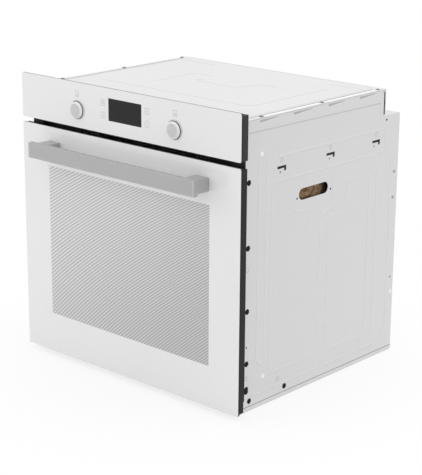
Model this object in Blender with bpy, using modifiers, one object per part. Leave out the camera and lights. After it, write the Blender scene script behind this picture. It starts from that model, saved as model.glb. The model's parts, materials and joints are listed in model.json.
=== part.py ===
"""Built-in electric wall oven with a drop-down glass door, in metres, +Z up, front towards -Y.

The origin is the middle of the footprint, on the surface that the base pan stands on.
Depths are measured backwards from the front face of the glass, and FRONT_Y turns them into Y.
"""

import math

import bmesh
import bpy
from mathutils import Matrix, Vector

# ---- driving dimensions -------------------------------------------------------------------
GAP = 0.0003  # clearance between pieces that touch on the real oven
RUNNING_GAP = 0.0004  # radial play of shafts, sleeves and pins
SHEET = 0.001  # galvanised sheet of the outer casing
COVER_SHEET = 0.0012  # sheet of the top cover

# front
FRONT_WIDTH = 0.595
FRONT_TOP = 0.595
PANEL_HEIGHT = 0.091  # glass of the control panel
VENT_GAP = 0.011  # open slot between the control panel and the door
DOOR_BOTTOM = 0.0095
GLASS = 0.004
MIDDLE_PANE = 0.003
CORNER_RADIUS = 0.004
PANEL_DEPTH = 0.020  # glass and plastic housing together
RIM_DEPTH = 0.0165  # outer glass and door columns together
SIDE_INSET = 0.0015  # how far the black sides stand behind the glass edge

# casing
BODY_INSET = 0.0203  # how far the casing stands in from each side of the front
BODY_DROP = 0.0224  # how far it stays below the top of the front
BODY_DEPTH = 0.5172
REAR_STEP = 0.0512  # the upper part of the body stops this far short of the rear cover
STEP_DROP = 0.0561  # height of that step
BASE_BAND = 0.0092
SEAM = 0.0007  # shadow line between the base pan and the side panels
FLANGE = 0.005  # fold at the front edge of a side panel
PAN_LIP = 0.030  # height of the base pan's inner lips
PAN_FLOOR_OVERLAP = 0.0005  # how deep lips and folds run into the sheet that they grow from

# handle
HANDLE_REACH = 0.0495
HANDLE_INSET = 0.071  # from the side of the door to the end of the bar
HANDLE_HEIGHT = 0.0312
HANDLE_THICK = 0.011
HANDLE_DROP = 0.0408  # from the top of the door to the middle of the bar
POST_INSET = 0.0235
POST_WIDTH = 0.033
POST_HEIGHT = 0.0264
SCREW_RADIUS = 0.0025

# controls
KNOB_X = 0.132
KNOB_RISE = 0.036  # from the lower edge of the panel glass
KNOB_RADIUS = 0.018
KNOB_PROUD = 0.0035
KNOB_BACK = 0.0085
KNOB_CLEARANCE = 0.0012
KNOB_BEVEL = 0.0018
CAP_FACE = 0.002  # depth of the blind end of the bore in the cap
SHAFT_RADIUS = 0.003
SLEEVE_RADIUS = 0.007
SWITCH_DEPTH = 0.040
DISPLAY_WIDTH = 0.0894
DISPLAY_HEIGHT = 0.0442
DISPLAY_RISE = 0.0492
BOARD = 0.0016
BOARD_X, BOARD_Z = 0.062, 0.027  # half sizes

# door and hinge
COLUMN_WALL = 0.0016
COLUMN_FACE = 0.002
COLUMN_RISE = 0.004  # from the lower edge of the glass
PIVOT_BEHIND = 0.007  # from the back of the door glass to the hinge axis
PIVOT_RISE = 0.0085
HINGE_INSET = 0.0112  # from the outside of the casing to the middle of the hinge arm
HINGE_SEAT = 0.009  # from the middle of the hinge arm to the inner side of the column
PIN_RADIUS = 0.002
ARM_RADIUS = 0.0042
ARM_THICK = 0.004
ARM_REACH = 0.0362  # behind the rim of the front frame
CASE_HEIGHT = 0.146
CHEEK = 0.0015
PLAY = 0.0008  # side play of the hinge arm in its case

# frame, cavity and insulation
FRAME_SHEET = 0.0015
FRAME_INSET = 0.0095
HEM_FOLD = 0.0003  # how deep the folded hem runs into the rim that it is folded from
RECESS_DEPTH = 0.0162
RECESS_PLAY = 0.0015
RECESS_ROOF = 0.0025
SEAL_RADIUS = 0.00245
WALL_ROOM = 0.0412  # from the outside of the casing to the inside of the cavity
ROOF_DROP = 0.059  # from the top of the door to the roof of the cavity
CAVITY_BOTTOM = 0.080
CAVITY_SHEET = 0.0012
CAVITY_FLANGE = 0.010
CAVITY_RADIUS = 0.014
WOOL = 0.0245
BACK_WOOL = 0.024
BOTTOM_ROOM = 0.0148  # space for the heating element under the cavity
WIRING_ROOM = 0.002  # between the insulation and the back of the upper body

# hot air fan, heating elements and oven furniture
FAN_RADIUS = 0.075
FAN_BLADES = 10
FAN_ROOM = 0.028  # from the front of the fan to the back wall
BLADE_WIDTH = 0.018
PLATE = 0.0012
HUB_RADIUS = 0.012
MOTOR_RADIUS = 0.036
MOTOR_PLATE = 0.055  # half size of its square plate
RING_RADIUS = 0.095
RING_LEG = 0.018
ELEMENT_LEG = 0.025
ELEMENT_RADIUS = 0.0032
ELEMENT_BEND = 0.016
TAIL = 0.006  # how far the ends of the elements stand out of the insulation
FAN_COVER_WIDTH = 0.280
FAN_COVER_MARGIN = 0.057  # above and below the cover
FAN_COVER_ROOM = 0.036
COVER_SLOTS = 12
LAMP_RADIUS = 0.0157
LENS_RADIUS = 0.022  # foot of the lamp's glass
LAMP_SHARE = 0.4423  # where the lamp stands in the room between the fan cover and the side wall
PROBE_RADIUS = 0.002
CORNER_ROOM = 0.051  # from the side wall to the probe
RACK_LEVELS = 5
RACK_LOW = 0.040  # from the floor to the first runner
RACK_HIGH = 0.094  # from the last runner to the roof
RUNNER_OVERHANG = 0.018
RUNNER_STAND_OFF = 0.003
UPRIGHT_RADIUS = 0.0025
RUNNER_RADIUS = 0.0022
SHELF_LEVEL = 2
SHELF_WIRES = 13
TRAY_DEPTH = 0.024
TRAY_SHEET = 0.0012
TRAY_RIM = 0.014
TRAY_CORNER = 0.012

# top compartment
DECK_SHEET = 0.0012
DUCT_WIDTH = 0.340
DUCT_HEIGHT = 0.031
IMPELLER_RADIUS = 0.060
IMPELLER_HEIGHT = 0.030
IMPELLER_VANES = 12
BLOWER_SIDE_ROOM = 0.025
BLOWER_END_ROOM = 0.020
BLOWER_REAR = 0.091  # from the back of the blower to the back of the upper body

# side panel openings, as depth and height
HOLD_DEPTH, HOLD_Z = 0.238, 0.404
HOLD_LENGTH, HOLD_HEIGHT = 0.090, 0.023
SLOT_DEPTHS = (0.1395, 0.2885, 0.438)
SLOT_Z = 0.4685
PLUG_DEPTH, PLUG_RADIUS = 0.0455, 0.0055
PLUG_HEIGHTS = (0.4555, 0.3294, 0.2045, 0.0990, 0.0422)
BASE_HOLES = ((0.0546, 0.0205), (0.1607, 0.0205))

# ---- worked out ---------------------------------------------------------------------------
FRONT_Y = (HANDLE_REACH - BODY_DEPTH) / 2
HALF_FRONT = FRONT_WIDTH / 2
HALF_BODY = HALF_FRONT - BODY_INSET
BODY_TOP = FRONT_TOP - BODY_DROP
UPPER_DEPTH = BODY_DEPTH - REAR_STEP
STEP_TOP = BODY_TOP - STEP_DROP
PANEL_BOTTOM = FRONT_TOP - PANEL_HEIGHT
DOOR_TOP = PANEL_BOTTOM - VENT_GAP
KNOB_Z = PANEL_BOTTOM + KNOB_RISE
DISPLAY_Z = PANEL_BOTTOM + DISPLAY_RISE
HANDLE_Z = DOOR_TOP - HANDLE_DROP
HALF_HANDLE = HALF_FRONT - HANDLE_INSET
POST_X = HALF_HANDLE - POST_INSET
HALF_FRAME = HALF_FRONT - FRAME_INSET
FRAME_BOTTOM = DOOR_BOTTOM + 0.0025
FRAME_TOP = FRONT_TOP - 0.007
HINGE_X = HALF_BODY - HINGE_INSET
PIVOT_DEPTH = GLASS + PIVOT_BEHIND
PIVOT_Z = DOOR_BOTTOM + PIVOT_RISE
COLUMN_OUT = HALF_FRONT - SIDE_INSET
COLUMN_IN = HINGE_X - HINGE_SEAT
COLUMN_START = DOOR_BOTTOM + COLUMN_RISE
COLUMN_TOP = DOOR_TOP - 0.002
PANE_X = COLUMN_IN - GAP  # panes, spacer and trim reach this far between the columns
PANE_LOW = DOOR_BOTTOM + 0.0215
PANE_HIGH = DOOR_TOP - 0.016
SPACER_HIGH = DOOR_TOP - 0.0145
FRAME_FRONT = PANEL_DEPTH + GAP
FRAME_BACK = FRAME_FRONT + FRAME_SHEET
SWITCH_FRONT = FRAME_BACK + GAP
SHAFT_END = SWITCH_FRONT + SWITCH_DEPTH - 0.0041
SLEEVE_END = SWITCH_FRONT + 0.0179
ARM_END = FRAME_BACK + ARM_REACH
RECESS_FRONT = FRAME_FRONT + RECESS_DEPTH
RECESS_BACK = RECESS_FRONT + FRAME_SHEET
RECESS_X = COLUMN_IN + RECESS_PLAY
RECESS_TOP = DOOR_TOP + RECESS_ROOF
CAVITY_FRONT = RECESS_BACK + GAP
WOOL_BACK = UPPER_DEPTH - WIRING_ROOM
CAVITY_BACK = WOOL_BACK - BACK_WOOL
HALF_CAVITY = HALF_BODY - WALL_ROOM
CAVITY_TOP = DOOR_TOP - ROOF_DROP
CAVITY_MIDDLE = (CAVITY_BOTTOM + CAVITY_TOP) / 2
PANE_BACK = RECESS_FRONT - 2 * SEAL_RADIUS - 2 * GAP
WOOL_TOP = CAVITY_TOP + CAVITY_SHEET + 2 * GAP + WOOL
DECK_BOTTOM = WOOL_TOP + GAP
DECK_TOP = DECK_BOTTOM + DECK_SHEET
TAIL_END = WOOL_BACK + TAIL
FAN_FRONT = CAVITY_BACK - FAN_ROOM
FAN_PLATE = FAN_FRONT + BLADE_WIDTH
FAN_COVER_FRONT = CAVITY_BACK - FAN_COVER_ROOM
MOTOR_END = WOOL_BACK + 0.041
RACK_FRONT = CAVITY_FRONT + 0.0417
RACK_BACK = FAN_COVER_FRONT - 0.024
SHELF_FRONT = RACK_FRONT - RUNNER_OVERHANG
SHELF_BACK = RACK_BACK + RUNNER_OVERHANG
RACK_FIRST = CAVITY_BOTTOM + RACK_LOW
RACK_PITCH = (CAVITY_TOP - RACK_HIGH - RACK_FIRST) / (RACK_LEVELS - 1)
UPRIGHT_X = HALF_CAVITY - GAP - UPRIGHT_RADIUS
RUNNER_X = UPRIGHT_X - RUNNER_STAND_OFF
INSIDE = HALF_BODY - SHEET - GAP  # inner pieces that reach the side panels stop here
BLOWER_BACK = UPPER_DEPTH - BLOWER_REAR
BLOWER_FRONT = BLOWER_BACK - 2 * (IMPELLER_RADIUS + BLOWER_END_ROOM)
HALF_BLOWER = IMPELLER_RADIUS + BLOWER_SIDE_ROOM
BLOWER_HEIGHT = IMPELLER_HEIGHT + 0.014
TERMINAL_X = -0.100
FAR = 1.0  # well outside the oven, for cutters that are open on a side


# ---- materials ----------------------------------------------------------------------------
def material(name, colour, roughness, metallic=0.0, transmission=0.0):
    made = bpy.data.materials.new(name)
    made.use_nodes = True
    shader = made.node_tree.nodes["Principled BSDF"]
    shader.inputs["Base Color"].default_value = (*colour, 1.0)
    shader.inputs["Roughness"].default_value = roughness
    shader.inputs["Metallic"].default_value = metallic
    shader.inputs["Transmission Weight"].default_value = transmission
    made.diffuse_color = (*colour, 1.0)
    return made


def clear_scene():
    for old in list(bpy.data.objects):
        bpy.data.objects.remove(old)


clear_scene()
OVEN = bpy.data.collections.new("wall_oven")
CUTTERS = bpy.data.collections.new("cutters")
for group in (OVEN, CUTTERS):
    bpy.context.scene.collection.children.link(group)

WHITE_GLASS = material("white_glass", (0.80, 0.80, 0.80), 0.08)
CLEAR_GLASS = material("clear_glass", (0.85, 0.88, 0.88), 0.03, transmission=0.9)
DARK_GLASS = material("dark_glass", (0.03, 0.03, 0.03), 0.05)
BLACK_PAINT = material("black_paint", (0.05, 0.05, 0.05), 0.45)
SATIN_METAL = material("satin_metal", (0.50, 0.50, 0.50), 0.35, 1.0)
ZINC_SHEET = material("zinc_sheet", (0.66, 0.66, 0.67), 0.45, 0.6)
ENAMEL = material("grey_enamel", (0.06, 0.06, 0.07), 0.25)
CHROME_WIRE = material("chrome_wire", (0.75, 0.75, 0.76), 0.15, 1.0)
DARK_STEEL = material("dark_steel", (0.16, 0.16, 0.17), 0.4, 0.9)
RUBBER = material("grey_rubber", (0.10, 0.10, 0.10), 0.8)
ROCK_WOOL = material("rock_wool", (0.30, 0.19, 0.08), 1.0)
CIRCUIT = material("circuit_board", (0.05, 0.20, 0.08), 0.5)
PLASTIC = material("black_plastic", (0.03, 0.03, 0.03), 0.5)
CERAMIC = material("ceramic", (0.75, 0.73, 0.68), 0.6)


# ---- shapes -------------------------------------------------------------------------------
def at(x, depth, z):
    return Vector((x, FRONT_Y + depth, z))


def add(name, mesh, surface):
    """A finished piece when it has a surface, otherwise a hidden cutter."""
    piece = bpy.data.objects.new(name, mesh)
    if surface is None:
        CUTTERS.objects.link(piece)
        piece.hide_render = True
        piece.display_type = "WIRE"
    else:
        OVEN.objects.link(piece)
        mesh.materials.append(surface)
    return piece


def block(name, x, depth, z, surface=None, rounding=None):
    """A box from its three ranges. rounding is (axis, radius): the edges along that axis are rounded."""
    low, high = at(x[0], depth[0], z[0]), at(x[1], depth[1], z[1])
    form = bmesh.new()
    bmesh.ops.create_cube(form, size=1.0)
    bmesh.ops.scale(form, vec=high - low, verts=form.verts)
    bmesh.ops.translate(form, vec=(low + high) / 2, verts=form.verts)
    if rounding:
        axis, radius = rounding
        index = "XYZ".index(axis)
        along = [e for e in form.edges if abs((e.verts[0].co - e.verts[1].co).normalized()[index]) > 0.99]
        bmesh.ops.bevel(form, geom=along, offset=radius, segments=4, affect="EDGES", profile=0.5)
    mesh = bpy.data.meshes.new(name)
    form.to_mesh(mesh)
    form.free()
    return add(name, mesh, surface)


def rod(name, start, end, radius, surface=None, sides=24, end_radius=None):
    """A straight cylinder or cone between two points."""
    start, end = Vector(start), Vector(end)
    way = end - start
    form = bmesh.new()
    bmesh.ops.create_cone(form, cap_ends=True, segments=sides, radius1=radius,
                          radius2=radius if end_radius is None else end_radius, depth=way.length)
    turn = Vector((0, 0, 1)).rotation_difference(way).to_matrix().to_4x4()
    bmesh.ops.transform(form, matrix=Matrix.Translation((start + end) / 2) @ turn, verts=form.verts)
    mesh = bpy.data.meshes.new(name)
    form.to_mesh(mesh)
    form.free()
    return add(name, mesh, surface)


def combine(target, others, operation):
    for other in others:
        step = target.modifiers.new(operation.lower(), "BOOLEAN")
        step.operation = operation
        step.solver = "EXACT"
        step.object = other


def carve(target, *cutters):
    combine(target, cutters, "DIFFERENCE")


def fuse(target, *pieces):
    combine(target, pieces, "UNION")


def row(cutter, count, step):
    """Repeats a cutter at a constant step."""
    array = cutter.modifiers.new("row", "ARRAY")
    array.count = count
    array.use_relative_offset = False
    array.use_constant_offset = True
    array.constant_offset_displace = step


def rounded_path(corners, radius, closed=False, steps=3):
    """Points along straight runs whose corners are arcs of the given radius."""
    corners = [Vector(c) for c in corners]
    count = len(corners)
    points = []
    for index, corner in enumerate(corners):
        if not closed and index in (0, count - 1):
            points.append(corner)
            continue
        before = (corners[index - 1] - corner).normalized()
        after = (corners[(index + 1) % count] - corner).normalized()
        half = before.angle(after) / 2
        centre = corner + (before + after).normalized() * radius / math.sin(half)
        start = corner + before * radius / math.tan(half) - centre
        end = corner + after * radius / math.tan(half) - centre
        for step in range(steps + 1):
            points.append(centre + radius * start.normalized().slerp(end.normalized(), step / steps))
    return points


def wire(name, points, radius, surface, closed=False):
    """A bent wire or tube as a curve with a round bevel."""
    curve = bpy.data.curves.new(name, "CURVE")
    curve.dimensions = "3D"
    curve.bevel_depth = radius
    curve.bevel_resolution = 2
    curve.use_fill_caps = True
    spline = curve.splines.new("POLY")
    spline.points.add(len(points) - 1)
    for point, place in zip(spline.points, points):
        point.co = (*place, 1.0)
    spline.use_cyclic_u = closed
    curve.materials.append(surface)
    piece = bpy.data.objects.new(name, curve)
    OVEN.objects.link(piece)
    return piece


def axis_empty(name, place):
    empty = bpy.data.objects.new(name, None)
    empty.location = place
    OVEN.objects.link(empty)
    return empty


def hang(parent, *pieces):
    """Parents pieces to an empty on their joint's axis, leaving them where they are."""
    for piece in pieces:
        piece.parent = parent
        piece.location = piece.location - parent.location


def smooth(piece, degrees=35):
    piece.data.shade_smooth()
    piece.data.set_sharp_from_angle(angle=math.radians(degrees))


def both(low, high, side):
    """A range of X on the left (-1) or on the right (1), from distances to the middle."""
    return (low, high) if side > 0 else (-high, -low)


SIDES = (("left", -1), ("right", 1))


# ---- control panel ------------------------------------------------------------------------
def control_panel():
    """Glass with its housing, the display and the two openings for the knobs."""
    half_w, half_h = DISPLAY_WIDTH / 2, DISPLAY_HEIGHT / 2
    window_low, window_high = DISPLAY_Z - half_h, DISPLAY_Z + half_h
    glass = block("control_panel_glass", (-HALF_FRONT, HALF_FRONT), (0, GLASS), (PANEL_BOTTOM, FRONT_TOP),
                  WHITE_GLASS, ("Y", CORNER_RADIUS))
    carve(glass, block("cut_display", (-half_w, half_w), (-0.01, 0.02), (window_low, window_high)))

    low, high = PANEL_BOTTOM + SIDE_INSET, FRONT_TOP - 0.005
    wall = COLUMN_WALL
    front = GLASS + GAP
    margin = 0.001
    housing = block("control_panel_housing", (-COLUMN_OUT, COLUMN_OUT), (front, PANEL_DEPTH), (low, high),
                    PLASTIC)
    carve(housing,
          block("cut_housing", (wall - COLUMN_OUT, COLUMN_OUT - wall), (front + wall, PANEL_DEPTH + 0.03),
                (low + wall, high - wall)),
          block("cut_housing_display", (-half_w - margin, half_w + margin), (0, PANEL_DEPTH),
                (window_low - margin, window_high + margin)))
    board_front = PANEL_DEPTH - 0.006
    for side in (-1, 1):
        x = side * KNOB_X
        hole = KNOB_RADIUS + KNOB_CLEARANCE
        carve(glass, rod(f"cut_knob_{side}", at(x, -0.02, KNOB_Z), at(x, 0.03, KNOB_Z), hole, sides=32))
        carve(housing, rod(f"cut_knob_wide_{side}", at(x, 0, KNOB_Z), at(x, front + 0.0052, KNOB_Z),
                           hole + 0.0005, sides=32))
        boss_x = side * (BOARD_X - 0.006)
        for rise in (0.0045 - BOARD_Z, BOARD_Z - 0.0045):
            z = DISPLAY_Z + rise
            fuse(housing, rod(f"boss_{side}_{rise}", at(boss_x, GLASS + wall, z),
                              at(boss_x, board_front - GAP, z), 0.003, sides=12))

    block("display_lens", (GAP - half_w, half_w - GAP), (0, GLASS - 0.0004),
          (window_low + GAP, window_high - GAP), DARK_GLASS)
    board = block("display_board", (-BOARD_X, BOARD_X), (board_front, board_front + BOARD),
                  (DISPLAY_Z - BOARD_Z, DISPLAY_Z + BOARD_Z), CIRCUIT)
    edge = 0.002
    fuse(board, block("display_module", (edge - half_w, half_w - edge), (GLASS - 0.0001, board_front + 0.0005),
                      (window_low + edge, window_high - edge)))


def knob(name, side):
    """One pop-out knob: the cap and its shaft turn, the sleeve slides, the switch stays."""
    x, z = side * KNOB_X, KNOB_Z
    bore = SHAFT_RADIUS + RUNNING_GAP
    cap = rod(f"{name}_knob", at(x, KNOB_BACK, z), at(x, -KNOB_PROUD, z), KNOB_RADIUS, SATIN_METAL, sides=32)
    edge = cap.modifiers.new("rim", "BEVEL")
    edge.width = KNOB_BEVEL
    edge.segments = 2
    edge.limit_method = "ANGLE"
    carve(cap, rod(f"cut_{name}_cap", at(x, CAP_FACE, z), at(x, KNOB_BACK + 0.01, z), bore, sides=16))
    shaft = rod(f"{name}_knob_shaft", at(x, CAP_FACE + GAP, z), at(x, SHAFT_END, z), SHAFT_RADIUS, CHROME_WIRE,
                sides=16)
    sleeve = rod(f"{name}_knob_sleeve", at(x, KNOB_BACK + GAP, z), at(x, SLEEVE_END, z), SLEEVE_RADIUS, PLASTIC)
    carve(sleeve, rod(f"cut_{name}_sleeve", at(x, 0, z), at(x, SLEEVE_END + 0.02, z), bore, sides=16))
    hang(axis_empty(f"{name}_knob_slide_axis", at(x, 0, z)), sleeve)
    hang(axis_empty(f"{name}_knob_turn_axis", at(x, 0, z)), cap, shaft)
    for piece in (cap, shaft, sleeve):
        smooth(piece)


def switch(name, side, half_width, half_height):
    """The switch body behind the front frame, with the guide for the sleeve and the shaft."""
    x, z = side * KNOB_X, KNOB_Z
    back = SWITCH_FRONT + SWITCH_DEPTH
    body = block(name, (x - half_width, x + half_width), (SWITCH_FRONT, back),
                 (z - half_height, z + half_height), PLASTIC, ("Y", 0.003))
    carve(body,
          rod(f"cut_{name}_guide", at(x, 0.01, z), at(x, SLEEVE_END + 0.002, z), SLEEVE_RADIUS + RUNNING_GAP),
          rod(f"cut_{name}_bore", at(x, 0.03, z), at(x, SHAFT_END + 0.002, z), SHAFT_RADIUS + RUNNING_GAP,
              sides=16))
    tab, pitch, thick = 0.006, 0.012, 0.0008
    tab_z = z - 0.012
    for column in range(3):
        left = x - 0.015 + column * pitch
        fuse(body, block(f"{name}_tab_{column}", (left, left + tab), (back - 0.001, back + 0.008),
                         (tab_z, tab_z + thick)))


# ---- door ---------------------------------------------------------------------------------
def glazing():
    """Three panes: the printed outer glass and two clear panes held apart by a frame."""
    outer = block("door_outer_glass", (-HALF_FRONT, HALF_FRONT), (0, GLASS), (DOOR_BOTTOM, DOOR_TOP),
                  WHITE_GLASS, ("Y", CORNER_RADIUS))
    middle = block("door_middle_glass", (-PANE_X, PANE_X), (RIM_DEPTH - MIDDLE_PANE, RIM_DEPTH),
                   (PANE_LOW, PANE_HIGH), CLEAR_GLASS, ("Y", 0.003))
    inner_front = PANE_BACK - GLASS
    margin = 0.004
    inner = block("door_inner_glass", (margin - PANE_X, PANE_X - margin), (inner_front, PANE_BACK),
                  (PANE_LOW + 0.003, PANE_HIGH + 0.0005), CLEAR_GLASS, ("Y", 0.006))
    spacer = block("door_pane_frame", (-PANE_X, PANE_X), (RIM_DEPTH + GAP, inner_front - GAP),
                   (PANE_LOW, SPACER_HIGH), BLACK_PAINT)
    side, rail = 0.022, 0.031
    carve(spacer, block("cut_spacer", (side - PANE_X, PANE_X - side), (0, PANE_BACK + 0.02),
                        (PANE_LOW + rail, SPACER_HIGH - rail + 0.0005), rounding=("Y", 0.012)))
    return [outer, middle, inner, spacer]


def door_trims():
    """Side columns that close the door's edges, and the vented trim on top."""
    pieces = []
    front = GLASS + GAP
    for name, side in SIDES:
        column = block(f"door_column_{name}", both(COLUMN_IN, COLUMN_OUT, side), (front, RIM_DEPTH),
                       (COLUMN_START, COLUMN_TOP), BLACK_PAINT)
        carve(column, block(f"cut_column_{name}", both(COLUMN_IN + COLUMN_WALL, COLUMN_OUT - COLUMN_WALL, side),
                            (front + COLUMN_FACE, RIM_DEPTH + 0.02), (0, COLUMN_TOP - COLUMN_WALL)))
        pieces.append(column)
    low, high = SPACER_HIGH + GAP, DOOR_TOP - 0.0065
    trim = block("door_top_trim", (-PANE_X, PANE_X), (front, PANE_BACK), (low, high), PLASTIC)
    count, width = 16, 0.018
    reach = PANE_X - 0.0317
    slots = block("cut_trim_slot", (-reach, width - reach), (0.018, 0.026), (low - 0.01, high + 0.01))
    row(slots, count, ((2 * reach - width) / (count - 1), 0, 0))
    wall = 0.010
    carve(trim, slots, block("cut_trim_front", (wall - PANE_X, PANE_X - wall),
                             (front + 0.0017, RIM_DEPTH - 0.001), (low - 0.01, high - 0.002)))
    pieces.append(trim)
    return pieces


def handle():
    """Flat bar on two blocks, each held by a screw through the glass."""
    back = HANDLE_THICK - HANDLE_REACH
    bar = block("door_handle_bar", (-HALF_HANDLE, HALF_HANDLE), (-HANDLE_REACH, back),
                (HANDLE_Z - HANDLE_HEIGHT / 2, HANDLE_Z + HANDLE_HEIGHT / 2), SATIN_METAL)
    edge = bar.modifiers.new("edge", "BEVEL")
    edge.width = 0.001
    edge.segments = 2
    pieces = [bar]
    z = HANDLE_Z - 0.001
    head_front = GLASS + GAP
    for name, side in SIDES:
        x = side * POST_X
        post = block(f"handle_post_{name}", (x - POST_WIDTH / 2, x + POST_WIDTH / 2), (back + GAP, -GAP),
                     (z - POST_HEIGHT / 2, z + POST_HEIGHT / 2), SATIN_METAL)
        bore = rod(f"cut_handle_screw_{name}", at(x, -0.013, z), at(x, 0.01, z), SCREW_RADIUS + GAP, sides=12)
        carve(post, bore)
        carve(bpy.data.objects["door_outer_glass"], bore)
        screw = rod(f"handle_screw_{name}", at(x, -0.0125, z), at(x, head_front + 0.001, z), SCREW_RADIUS,
                    CHROME_WIRE, sides=12)
        fuse(screw, rod(f"head_{name}", at(x, head_front, z), at(x, head_front + 0.003, z), 0.005, sides=16))
        pieces += [post, screw]
    return pieces


def pin_bore(name, side):
    """Cutter for the hinge pin, through the case and the arm."""
    start, end = side * (HINGE_X - 0.011), side * (HINGE_X + 0.014)
    return rod(name, at(start, PIVOT_DEPTH, PIVOT_Z), at(end, PIVOT_DEPTH, PIVOT_Z), PIN_RADIUS + RUNNING_GAP,
               sides=16)


def hinges():
    """The case and its cheeks ride on the door, the arm and the pin stay with the chassis."""
    pieces = []
    arm_in, arm_out = HINGE_X - ARM_THICK / 2, HINGE_X + ARM_THICK / 2
    web = GLASS + GAP + COLUMN_FACE + GAP
    low = COLUMN_START + 0.0005
    high = low + CASE_HEIGHT
    for name, side in SIDES:
        slot = both(arm_in - PLAY, arm_out + PLAY, side)
        case = block(f"hinge_case_{name}", both(arm_in - PLAY - CHEEK, arm_out + PLAY + CHEEK, side),
                     (web, RIM_DEPTH - GAP), (low, high), DARK_STEEL)
        carve(case,
              block(f"cut_case_{name}", slot, (web + CHEEK, 0.03), (PIVOT_Z + 0.007, high - 0.002)),
              block(f"cut_case_foot_{name}", slot, (0, 0.03), (0, PIVOT_Z + 0.012)),
              pin_bore(f"cut_case_pin_{name}", side))
        pieces.append(case)
        arm = block(f"hinge_arm_{name}", both(arm_in, arm_out, side), (PIVOT_DEPTH, ARM_END),
                    (PIVOT_Z - ARM_RADIUS, PIVOT_Z + ARM_RADIUS), DARK_STEEL)
        fuse(arm,
             rod(f"arm_eye_{name}", at(side * arm_in, PIVOT_DEPTH, PIVOT_Z),
                 at(side * arm_out, PIVOT_DEPTH, PIVOT_Z), ARM_RADIUS),
             block(f"arm_hook_{name}", both(arm_in, arm_out, side), (FRAME_BACK + 0.0005, FRAME_BACK + 0.0082),
                   (PIVOT_Z, PIVOT_Z + 0.011)))
        carve(arm, pin_bore(f"cut_arm_{name}", side))
        stand_out = PLAY + CHEEK + 0.001
        rod(f"hinge_pin_{name}", at(side * (arm_in - stand_out), PIVOT_DEPTH, PIVOT_Z),
            at(side * (arm_out + stand_out), PIVOT_DEPTH, PIVOT_Z), PIN_RADIUS, CHROME_WIRE, sides=16)
    return pieces


def door():
    axis = axis_empty("door_hinge_axis", at(0, PIVOT_DEPTH, PIVOT_Z))
    hang(axis, *glazing(), *door_trims(), *handle(), *hinges())


# ---- front frame and cavity ---------------------------------------------------------------
def front_frame():
    """Pressed front of the chassis: a rim with a hem against the cabinet, and a recess for the door."""
    frame = block("front_frame", (-HALF_FRAME, HALF_FRAME), (FRAME_FRONT, RECESS_BACK),
                  (FRAME_BOTTOM, FRAME_TOP), BLACK_PAINT)
    recess_out = RECESS_X + FRAME_SHEET
    recess_roof = RECESS_TOP + FRAME_SHEET
    half = HALF_CAVITY + 0.001
    carve(frame,
          block("cut_frame_top", (-FAR, FAR), (FRAME_BACK, FAR), (recess_roof, FAR)),
          block("cut_recess", (-RECESS_X, RECESS_X), (0, RECESS_FRONT), (0, RECESS_TOP)),
          block("cut_mouth", (-half, half), (0, FAR), (CAVITY_BOTTOM - 0.001, CAVITY_TOP + 0.001),
                rounding=("Y", CAVITY_RADIUS)),
          block("cut_air_outlet", (0.010 - DUCT_WIDTH / 2, DUCT_WIDTH / 2 - 0.010), (0, FAR),
                (DECK_TOP + 0.006, RECESS_TOP - 0.003)),
          block("cut_cable", (-0.03, 0.03), (0, FAR), (DISPLAY_Z - 0.012, DISPLAY_Z + 0.004)))
    slot = ARM_THICK / 2 + PLAY
    for name, side in SIDES:
        carve(frame,
              block(f"cut_frame_side_{name}", both(recess_out, FAR, side), (FRAME_BACK, FAR), (0, FAR)),
              block(f"cut_arm_slot_{name}", both(HINGE_X - slot, HINGE_X + slot, side), (0, FAR),
                    (PIVOT_Z - ARM_RADIUS - RUNNING_GAP, PIVOT_Z + ARM_RADIUS + RUNNING_GAP)),
              rod(f"cut_sleeve_{name}", at(side * KNOB_X, 0.01, KNOB_Z), at(side * KNOB_X, 0.1, KNOB_Z),
                  SLEEVE_RADIUS + 0.0006))
        fuse(frame, block(f"frame_hem_{name}", both(HALF_BODY + GAP, HALF_FRAME, side),
                          (FRAME_BACK - HEM_FOLD, FRAME_BACK + FRAME_SHEET), (FRAME_BOTTOM, FRAME_TOP)))


def door_seal():
    """Silicone tube seal around the mouth of the cavity."""
    reach, radius = 0.0065, SEAL_RADIUS
    half = HALF_CAVITY + reach
    low, high = CAVITY_BOTTOM - reach, CAVITY_TOP + reach
    depth = RECESS_FRONT - GAP - radius
    corners = [at(-half, depth, low), at(half, depth, low), at(half, depth, high), at(-half, depth, high)]
    wire("door_seal", rounded_path(corners, CAVITY_RADIUS + 0.004, closed=True), radius, RUBBER, closed=True)


def leg_holes(prefix, places, radius, sides=12):
    """Cutters through the back wall whose flats clear a round of this radius."""
    wide = radius / math.cos(math.pi / sides)
    front, back = CAVITY_BACK - 0.010, WOOL_BACK + 0.011
    return [rod(f"{prefix}_{index}", at(x, front, z), at(x, back, z), wide, sides=sides)
            for index, (x, z) in enumerate(places)]


RING_LEGS = [(side * RING_LEG, CAVITY_MIDDLE - math.sqrt(RING_RADIUS**2 - RING_LEG**2)) for side in (-1, 1)]
GRILL_Z = CAVITY_TOP - 0.016
GRILL_LEGS = [(-ELEMENT_LEG, GRILL_Z), (ELEMENT_LEG, GRILL_Z)]
BOTTOM_Z = CAVITY_BOTTOM - CAVITY_SHEET - GAP - ELEMENT_RADIUS
BOTTOM_LEGS = [(-ELEMENT_LEG, BOTTOM_Z), (ELEMENT_LEG, BOTTOM_Z)]
LAMP_ROOM = HALF_CAVITY - FAN_COVER_WIDTH / 2 - 2 * LENS_RADIUS
LAMP = (-FAN_COVER_WIDTH / 2 - LENS_RADIUS - LAMP_SHARE * LAMP_ROOM, CAVITY_TOP - 0.049)
PROBE = (HALF_CAVITY - CORNER_ROOM, CAVITY_TOP - 0.039)
SHAFT_HOLE = 0.006


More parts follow.
